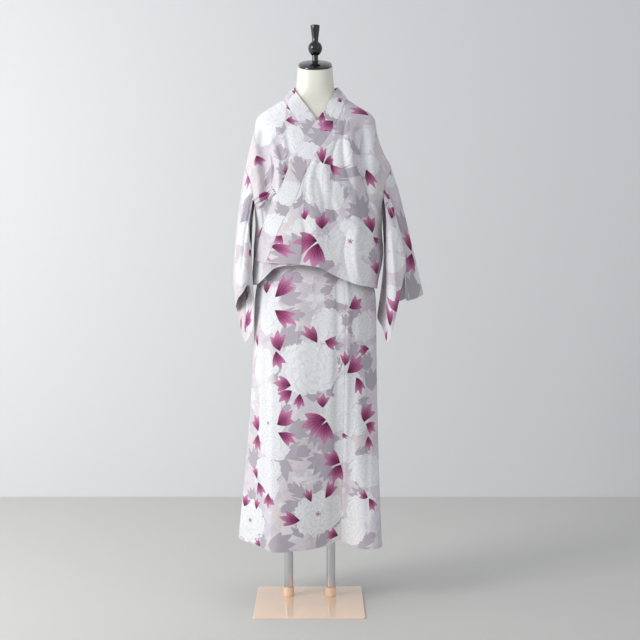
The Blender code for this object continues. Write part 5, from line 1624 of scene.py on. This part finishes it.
@dataclass
class Graph:
    """A node tree with short calls for what the materials need."""

    tree: Tree

    def node(self, kind: str, **values: object) -> Node:
        """A node of a kind, with its properties set."""
        made = self.tree.nodes.new(kind)
        for name, value in values.items():
            setattr(made, name, value)
        return made

    def put(self, socket: Socket, value: object) -> None:
        """Links a socket to an input, or sets its value."""
        if isinstance(value, Socket):
            self.tree.links.new(value, socket)
        elif isinstance(value, tuple) and len(value) == 3 and socket.type == "RGBA":
            socket.default_value = (*value, 1.0)
        else:
            socket.default_value = value

    def math(self, operation: str, *values: object) -> Socket:
        """One Math node on up to three values."""
        made = self.node("ShaderNodeMath", operation=operation)
        for socket, value in zip(made.inputs, values):
            self.put(socket, value)
        return made.outputs[0]

    def times(self, a: object, b: object) -> Socket:
        """a * b."""
        return self.math("MULTIPLY", a, b)

    def plus(self, a: object, b: object) -> Socket:
        """a + b."""
        return self.math("ADD", a, b)

    def minus(self, a: object, b: object) -> Socket:
        """a - b."""
        return self.math("SUBTRACT", a, b)

    def fused(self, a: object, b: object, c: object) -> Socket:
        """a * b + c."""
        return self.math("MULTIPLY_ADD", a, b, c)

    def size(self, a: object) -> Socket:
        """a without its sign."""
        return self.math("ABSOLUTE", a)

    def sine(self, a: object) -> Socket:
        """The sine of a."""
        return self.math("SINE", a)

    def power(self, a: object, b: float) -> Socket:
        """a to the power b."""
        return self.math("POWER", a, b)

    def radius(self, x: object, y: object) -> Socket:
        """The length of (x, y)."""
        return self.math("SQRT", self.plus(self.times(x, x), self.times(y, y)))

    def ramp(self, value: object, low: float, high: float) -> Socket:
        """0 below low, 1 above high, and an S curve between."""
        made = self.node("ShaderNodeMapRange", interpolation_type="SMOOTHSTEP")
        self.fill(made, {"Value": value, "From Min": low, "From Max": high})
        return made.outputs["Result"]

    def mix(self, factor: object, low: object, high: object) -> Socket:
        """A colour between two."""
        made = self.node("ShaderNodeMix", data_type="RGBA")
        for index, item in ((0, factor), (6, low), (7, high)):
            self.put(made.inputs[index], item)
        return made.outputs[2]

    def fill(self, node: Node, values: dict[str, object]) -> None:
        """Sets or links a node's inputs by name."""
        for name, value in values.items():
            self.put(node.inputs[name], value)

    def noise(self, vector: object, scale: float, detail: float, rough: float) -> Socket:
        """A noise value at a vector."""
        made = self.node("ShaderNodeTexNoise")
        self.fill(made, {"Vector": vector, "Scale": scale, "Detail": detail, "Roughness": rough})
        return made.outputs[0]

    def scaled(self, vector: object, scale: Triple) -> Socket:
        """A vector times another, part by part."""
        made = self.node("ShaderNodeVectorMath", operation="MULTIPLY")
        self.put(made.inputs[0], vector)
        made.inputs[1].default_value = scale
        return made.outputs[0]

    def parts(self, vector: object) -> tuple[Socket, ...]:
        """The three parts of a vector."""
        made = self.node("ShaderNodeSeparateXYZ")
        self.put(made.inputs[0], vector)
        return tuple(made.outputs)


def new_group(name: str, inputs: dict[str, str], outputs: dict[str, str]) -> tuple[Graph, dict, dict]:
    """A shader node group with named sockets.

    Args:
        name: the group's name.
        inputs: socket kinds by name.
        outputs: socket kinds by name.

    Returns:
        Its graph, its input sockets by name and its output sockets by name.
    """
    tree = bpy.data.node_groups.new(name, "ShaderNodeTree")
    for label, kind in inputs.items():
        tree.interface.new_socket(label, in_out="INPUT", socket_type=kind)
    for label, kind in outputs.items():
        tree.interface.new_socket(label, in_out="OUTPUT", socket_type=kind)
    graph = Graph(tree)
    start, end = graph.node("NodeGroupInput"), graph.node("NodeGroupOutput")
    return graph, {k: start.outputs[k] for k in inputs}, {k: end.inputs[k] for k in outputs}


FLOAT, VECTOR = "NodeSocketFloat", "NodeSocketVector"


@dataclass(frozen=True)
class PrintGroups:
    """The print's three motifs, each a node group that draws one motif in its own axes."""

    petals: float = 5.0
    rings: float = 3.4
    tips: float = 3.0
    fan: float = 0.74
    tip_cut: float = 0.32
    teeth: float = 2.6

    def bloom(self) -> Tree:
        """A many-petalled peony: uneven rings of scallops inside 0.84 + 0.12 |sin(petals a + turn)|^0.6."""
        g, given, out = new_group("Peony", {"Place": VECTOR}, {"Mask": FLOAT, "Line": FLOAT, "Stamen": FLOAT})
        x, y, seed = g.parts(given["Place"])
        turn = g.times(seed, 17.0)
        wobble = g.minus(g.noise(given["Place"], 3.2, 3.0, 0.55), 0.5)
        plain = g.radius(x, y)
        r = g.fused(wobble, 0.55, plain)
        a = g.fused(wobble, 1.9, g.math("ARCTAN2", y, x))
        scallop = g.size(g.sine(g.fused(a, self.petals, turn)))
        lean = g.sine(g.fused(a, 2.0, turn))
        edge = g.fused(g.power(scallop, 0.6), 0.12, g.fused(lean, 0.08, 0.84))
        g.put(out["Mask"], g.ramp(g.minus(edge, r), 0.0, 0.035))
        inner = g.size(g.sine(g.fused(a, self.petals * 0.8, g.times(seed, 31.0))))
        share = g.times(g.math("DIVIDE", r, edge), self.rings)
        ring = g.math("FRACT", g.fused(g.power(inner, 0.6), -0.8, share))
        g.put(out["Line"], g.minus(1.0, g.ramp(ring, 0.02, 0.55)))
        ray = g.fused(g.sine(g.times(a, 7.0)), 0.05, 0.09)
        spot = g.ramp(g.minus(ray, plain), 0.0, 0.05)
        g.put(out["Stamen"], g.times(spot, g.math("GREATER_THAN", seed, 0.65)))
        return g.tree

    def fan_edge(self, g: Graph, a: object, half: object, tips: float, cut: float) -> Socket:
        """How far a fan of pointed lobes reaches at an angle from its middle.

        Args:
            g: the graph.
            a: the angle, in radians.
            half: the fan's half angle.
            tips: how many lobes it has.
            cut: how deep the clefts between them are, as a share of the reach.

        Returns:
            The reach, 1 at the middle lobe's tip and 0 at the fan's sides.
        """
        share = g.math("DIVIDE", a, half)
        place = g.math("FRACT", g.fused(share, tips / 2.0, tips / 2.0))
        cleft = g.size(g.fused(place, 2.0, -1.0))
        lobes = g.fused(g.power(cleft, 0.85), -cut, 1.0)
        wide = g.power(g.size(share), 3.2)
        round_side = g.power(g.math("MAXIMUM", g.minus(1.0, wide), 0.0), 0.55)
        return g.times(lobes, round_side)

    def sprig(self) -> Tree:
        """A leaf of three pointed lobes that spread from one foot, with fine rays."""
        g, given, out = new_group("Sprig", {"Place": VECTOR}, {"Mask": FLOAT, "Along": FLOAT, "Vein": FLOAT})
        x, y, seed = g.parts(given["Place"])
        r = g.radius(x, y)
        sway = g.times(g.sine(g.times(seed, 23.0)), 0.30)
        a = g.fused(sway, r, g.math("ARCTAN2", x, y))
        half = g.fused(g.sine(g.times(seed, 41.0)), 0.14, self.fan)
        jag = g.times(g.minus(g.noise(given["Place"], 7.0, 1.0, 0.5), 0.5), 0.16)
        edge = g.plus(self.fan_edge(g, a, half, self.tips, self.tip_cut), jag)
        g.put(out["Mask"], g.ramp(g.minus(edge, r), 0.0, 0.03))
        along = g.math("MINIMUM", g.fused(g.size(a), 0.15, r), 1.0)
        g.put(out["Along"], along)
        rays = g.sine(g.times(a, 27.0))
        near = g.minus(1.0, g.ramp(along, 0.30, 0.85))
        g.put(out["Vein"], g.times(g.ramp(rays, 0.30, 1.0), near))
        return g.tree

    def leaf(self) -> Tree:
        """A broad leaf with pointed teeth along both sides, or a fan of five lobes, by its seed."""
        g, given, out = new_group("Toothed leaf", {"Place": VECTOR}, {"Mask": FLOAT})
        x, y, seed = g.parts(given["Place"])
        bent = g.fused(g.times(y, y), g.fused(seed, 0.5, -0.25), x)
        inside = g.math("MAXIMUM", g.minus(1.0, g.times(y, y)), 0.0)
        width = g.times(g.power(inside, 0.7), 0.72)
        side = g.times(g.size(bent), -1.1)
        tooth = g.math("FRACT", g.fused(g.plus(y, side), self.teeth * 0.5, seed))
        cut = g.times(width, g.fused(tooth, 0.52, 0.50))
        long_leaf = g.minus(cut, g.size(bent))
        up = g.plus(y, 0.9)
        a = g.math("ARCTAN2", x, up)
        r = g.radius(x, up)
        fan = g.minus(g.times(self.fan_edge(g, a, 0.95, 5.0, 0.30), 1.85), r)
        picked = g.math("GREATER_THAN", g.math("FRACT", g.times(seed, 7.3)), 0.5)
        both = g.plus(long_leaf, g.times(picked, g.minus(fan, long_leaf)))
        g.put(out["Mask"], g.ramp(both, 0.0, 0.04))
        return g.tree


@dataclass(frozen=True)
class PrintedCotton:
    """Thin slubby cotton with the print, soft and matt."""

    ground: Colour = linear(220, 214, 221)
    blush: Colour = linear(221, 212, 214)
    ghost: Colour = linear(206, 199, 209)
    white: Colour = linear(236, 237, 239)
    petal_shade: Colour = linear(214, 215, 219)
    grey: Colour = linear(182, 175, 185)
    deep: Colour = linear(74, 24, 54)
    plum: Colour = linear(150, 64, 112)
    pink: Colour = linear(200, 134, 172)
    roughness: float = 0.82
    specular: float = 0.25
    sheen: float = 0.12
    bump: float = 0.8
    warmth_scale: float = 6.0
    ghost_scale: float = 15.0
    haze_scale: float = 13.0
    wrinkle_scale: Triple = (24.0, 9.0, 1.0)
    crease_scale: Triple = (15.0, 10.0, 1.0)
    thread_scales: tuple[Triple, Triple] = ((26.0, 620.0, 1.0), (620.0, 22.0, 1.0))
    weave_scale: Triple = (1400.0, 1400.0, 1.0)
    slub_height: float = 0.00022
    wrinkle_height: float = 0.0022
    crease_height: float = 0.0007

    def build(self) -> Material:
        """The material: ground, leaves, blooms, twigs and sprigs in that order, over the cloth's relief."""
        made = bpy.data.materials.new(Slot.COTTON.value)
        made.use_nodes = True
        g = Graph(made.node_tree)
        shader = made.node_tree.nodes["Principled BSDF"]
        uv = g.node("ShaderNodeUVMap", uv_map=UV_MAP).outputs[0]
        groups = PrintGroups()
        trees = {"Leaf": groups.leaf(), "Sprig": groups.sprig(), "Bloom": groups.bloom()}
        warmth = g.noise(g.scaled(uv, (1.0, 0.8, 1.0)), self.warmth_scale, 2.0, 0.5)
        colour = g.mix(g.ramp(warmth, 0.42, 0.58), self.ground, self.blush)
        cloud = g.noise(uv, self.ghost_scale, 4.0, 0.62)
        colour = g.mix(g.times(g.ramp(cloud, 0.50, 0.54), 0.75), colour, self.ghost)
        haze = g.noise(g.scaled(uv, (1.0, 1.3, 1.0)), self.haze_scale, 4.0, 0.60)
        colour = g.mix(g.times(g.ramp(haze, 0.56, 0.60), 0.7), colour, self.white)
        leaf = self.motif(g, trees["Leaf"], Layer.LEAF)
        colour = g.mix(leaf["Mask"], colour, self.grey)
        bloom = self.motif(g, trees["Bloom"], Layer.BLOOM)
        petals = g.mix(g.times(bloom["Line"], 0.62), self.white, self.petal_shade)
        petals = g.mix(bloom["Stamen"], petals, self.plum)
        colour = g.mix(bloom["Mask"], colour, petals)
        for layer in (Layer.TWIG, Layer.SPRIG):
            sprig = self.motif(g, trees["Sprig"], layer)
            tone = g.mix(g.ramp(sprig["Along"], 0.02, 0.40), self.deep, self.plum)
            tone = g.mix(g.ramp(sprig["Along"], 0.35, 0.85), tone, self.pink)
            tone = g.mix(g.times(sprig["Vein"], 0.60), tone, self.deep)
            colour = g.mix(sprig["Mask"], colour, tone)
        slub = self.slubs(g, uv)
        shade = g.fused(slub, 0.10, 0.95)
        worn = g.node("ShaderNodeMix", data_type="RGBA", blend_type="MULTIPLY")
        worn.inputs[0].default_value = 1.0
        g.put(worn.inputs[6], colour)
        grey = g.node("ShaderNodeCombineColor")
        for socket in grey.inputs[:3]:
            g.put(socket, shade)
        g.put(worn.inputs[7], grey.outputs[0])
        g.put(shader.inputs["Base Color"], worn.outputs[2])
        bump = g.node("ShaderNodeBump")
        g.fill(bump, {"Strength": self.bump, "Distance": 1.0, "Height": self.relief(g, uv, slub)})
        g.fill(shader, {"Roughness": self.roughness, "Specular IOR Level": self.specular})
        g.fill(shader, {"Sheen Weight": self.sheen, "Sheen Roughness": 0.5, "Normal": bump.outputs[0]})
        return made

    def motif(self, g: Graph, tree: Tree, layer: Layer) -> dict[str, Socket]:
        """One motif's outputs, read at a layer's coordinates."""
        place = g.node("ShaderNodeAttribute", attribute_name=layer.value)
        group = g.node("ShaderNodeGroup", node_tree=tree)
        g.put(group.inputs["Place"], place.outputs["Vector"])
        return {socket.name: socket for socket in group.outputs}

    def relief(self, g: Graph, uv: Socket, slub: Socket) -> Socket:
        """The cloth's fine relief in metres: its slubs, soft wrinkles and thin creases along them."""
        soft = g.noise(g.scaled(uv, self.wrinkle_scale), 1.0, 2.0, 0.45)
        bent = g.noise(g.scaled(uv, self.crease_scale), 1.0, 1.0, 0.5)
        line = g.minus(1.0, g.ramp(g.size(g.minus(bent, 0.5)), 0.0, 0.05))
        height = g.fused(slub, self.slub_height, g.times(soft, self.wrinkle_height))
        return g.fused(line, self.crease_height, height)

    def slubs(self, g: Graph, uv: Socket) -> Socket:
        """Uneven threads both ways: noise drawn out along each, and a fine one of the weave."""
        across, along = (g.noise(g.scaled(uv, scale), 1.0, 2.0, 0.6) for scale in self.thread_scales)
        fine = g.noise(g.scaled(uv, self.weave_scale), 1.0, 1.0, 0.5)
        both = g.plus(g.times(across, 0.5), g.times(along, 0.38))
        return g.fused(fine, 0.12, both)


@dataclass(frozen=True)
class Smooth:
    """A smooth finish: a colour with faint cloudy change, its roughness and its coat."""

    slot: Slot
    colour: Colour
    change: Colour
    roughness: float
    metallic: float = 0.0
    coat: float = 0.0
    coat_roughness: float = 0.06
    specular: float = 0.5
    spread: float = 6.0
    marks: float = 0.0

    def build(self) -> Material:
        """The material: two near colours by a soft noise, and fine wear in the roughness."""
        made = bpy.data.materials.new(self.slot.value)
        made.use_nodes = True
        g = Graph(made.node_tree)
        shader = made.node_tree.nodes["Principled BSDF"]
        place = g.node("ShaderNodeTexCoord").outputs["Object"]
        cloud = g.noise(place, self.spread, 3.0, 0.5)
        g.put(shader.inputs["Base Color"], g.mix(g.ramp(cloud, 0.3, 0.7), self.colour, self.change))
        fine = g.noise(place, 90.0, 3.0, 0.6)
        wear = g.fused(g.ramp(fine, 0.35, 0.75), 0.06 + self.marks, self.roughness - 0.03)
        g.put(shader.inputs["Roughness"], wear)
        g.fill(shader, {"Metallic": self.metallic, "Specular IOR Level": self.specular})
        g.fill(shader, {"Coat Weight": self.coat, "Coat Roughness": self.coat_roughness})
        return made


CREAM = Smooth(Slot.CREAM, linear(242, 240, 227), linear(238, 236, 222), 0.42, coat=0.12)
BLACK = Smooth(Slot.BLACK, linear(14, 14, 15), linear(20, 19, 19), 0.16, coat=0.6)
CHROME = Smooth(Slot.CHROME, linear(214, 214, 216), linear(206, 206, 209), 0.13, metallic=1.0, marks=0.03)
BEIGE = Smooth(Slot.BEIGE, linear(252, 219, 189), linear(248, 214, 183), 0.14, coat=0.5, marks=0.05)


WHITE = (1.0, 1.0, 1.0)


@dataclass
class Studio:
    """The pale floor and wall, the soft lights and the camera of the photograph."""

    wall_y: float = 1.64
    lens: float = 75.56
    sensor: float = 36.0
    camera: Triple = (0.0289, -3.7092, 0.9723)
    pitch: float = 0.0489567
    wall_colour: Colour = linear(226, 227, 228)
    floor_colour: Colour = linear(212, 211, 207)
    wide: float = 9.0
    high: float = 7.0
    chest: Triple = (0.0, 0.0, 0.95)
    sky: Colour = (0.93, 0.95, 1.0)
    sky_strength: float = 0.58

    def plane(self, name: str, corners: list[Triple], colour: Colour) -> None:
        """A matt plane that isn't part of the object, clear when seen from its back."""
        obj = new_object(name, np.array(corners), np.array([[0, 1, 2, 3]]))
        made = bpy.data.materials.new(name)
        made.use_nodes = True
        shader = made.node_tree.nodes["Principled BSDF"]
        g = Graph(made.node_tree)
        g.fill(shader, {"Base Color": colour, "Roughness": 0.7, "Specular IOR Level": 0.2})
        sides = g.node("ShaderNodeMixShader")
        back = g.node("ShaderNodeNewGeometry").outputs["Backfacing"]
        for i, value in enumerate((back, shader.outputs[0], g.node("ShaderNodeBsdfTransparent").outputs[0])):
            g.put(sides.inputs[i], value)
        g.put(made.node_tree.nodes["Material Output"].inputs["Surface"], sides.outputs[0])
        obj.data.materials.append(made)

    def light(
        self, name: str, place: tuple, target: tuple, size: float, power: float, colour: Colour = WHITE
    ) -> None:
        """A square area light that faces a point.

        Args:
            name: the light's name.
            place: where it is.
            target: the point that it faces.
            size: its side.
            power: its watts.
            colour: its colour.
        """
        data = bpy.data.lights.new(name, "AREA")
        data.size = size
        data.energy = power
        data.color = colour
        lamp = bpy.data.objects.new(name, data)
        lamp.location = place
        away = np.array(place) - np.array(target)
        lean = math.atan2(math.hypot(away[0], away[1]), away[2])
        lamp.rotation_euler = (lean, 0.0, math.atan2(away[0], -away[1]))
        bpy.context.scene.collection.objects.link(lamp)

    def build(self) -> None:
        """Puts the floor, the wall, the lights, the world and the camera in place."""
        wide, high, y = self.wide, self.high, self.wall_y
        floor = [(-wide, -wide, 0.0), (wide, -wide, 0.0), (wide, wide, 0.0), (-wide, wide, 0.0)]
        wall = [(-wide, y, 0.0), (wide, y, 0.0), (wide, y, high), (-wide, y, high)]
        self.plane("floor", floor, self.floor_colour)
        self.plane("wall", wall, self.wall_colour)
        self.light("key", (-2.9, -2.1, 2.3), self.chest, 1.5, 66.0)
        self.light("fill", (2.9, -2.6, 1.5), self.chest, 2.4, 5.0, (1.0, 0.99, 0.97))
        self.light("back_wall", (-2.0, 0.0, 1.3), (-0.7, 1.6, 0.6), 2.4, 17.0)
        world = bpy.data.worlds.new("room")
        world.use_nodes = True
        back = world.node_tree.nodes["Background"]
        Graph(world.node_tree).fill(back, {"Color": self.sky, "Strength": self.sky_strength})
        scene = bpy.context.scene
        scene.world = world
        scene.view_settings.view_transform = "Standard"
        data = bpy.data.cameras.new("camera")
        data.lens = self.lens
        data.sensor_width = self.sensor
        camera = bpy.data.objects.new("camera", data)
        camera.location = self.camera
        camera.rotation_euler = (math.pi / 2.0 - self.pitch, 0.0, 0.0)
        scene.collection.objects.link(camera)
        scene.camera = camera


def declare(obj: Object, node: str, finish: Material) -> None:
    obj.data.materials.append(finish)
    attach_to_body(obj, BODY)
    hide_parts(node)
    LOG.info("%s: %d faces", obj.name, len(obj.data.polygons))


def add_cloth(shell: Shell, layout: Layout, cotton: Material) -> None:
    node = shell.name
    shell.name = node + "_cloth"
    obj = shell.build(layout)
    declare(obj, node, cotton)


def main() -> None:
    """Builds the stand, the form, the skirt and the jacket, and then the studio round them."""
    logging.basicConfig(level=logging.INFO, format="%(message)s")
    stand, form = Stand(), Form()
    finishes = {finish.slot: finish.build() for finish in (BEIGE, CHROME, CREAM, BLACK)}
    hard = [("plate_enamelled", "base_plate", stand.plate(), Slot.BEIGE, True)]
    for word, x in (("left", stand.pole_spread), ("right", -stand.pole_spread)):
        hard.append(("tube_" + word, "pole_" + word, stand.pole(x), Slot.CHROME, True))
        hard.append(("holder_" + word, "socket_" + word, stand.socket(x), Slot.BEIGE, False))
    hard.append(("form_smooth", "dress_form", form.body(), Slot.CREAM, True))
    hard.append(("cap_lacquered", "neck_cap", form.cap(), Slot.BLACK, True))
    hard.append(("finial_turned", "finial", form.finial(), Slot.BLACK, True))
    for name, node, rings, slot, capped in hard:
        declare(ring_object(name, rings, capped), node, finishes[slot])
    layout = Layout()
    cotton = PrintedCotton().build()
    for shell in Skirt().shells() + Jacket().shells():
        add_cloth(shell, layout, cotton)
    Studio().build()


if __name__ == "__main__":
    main()
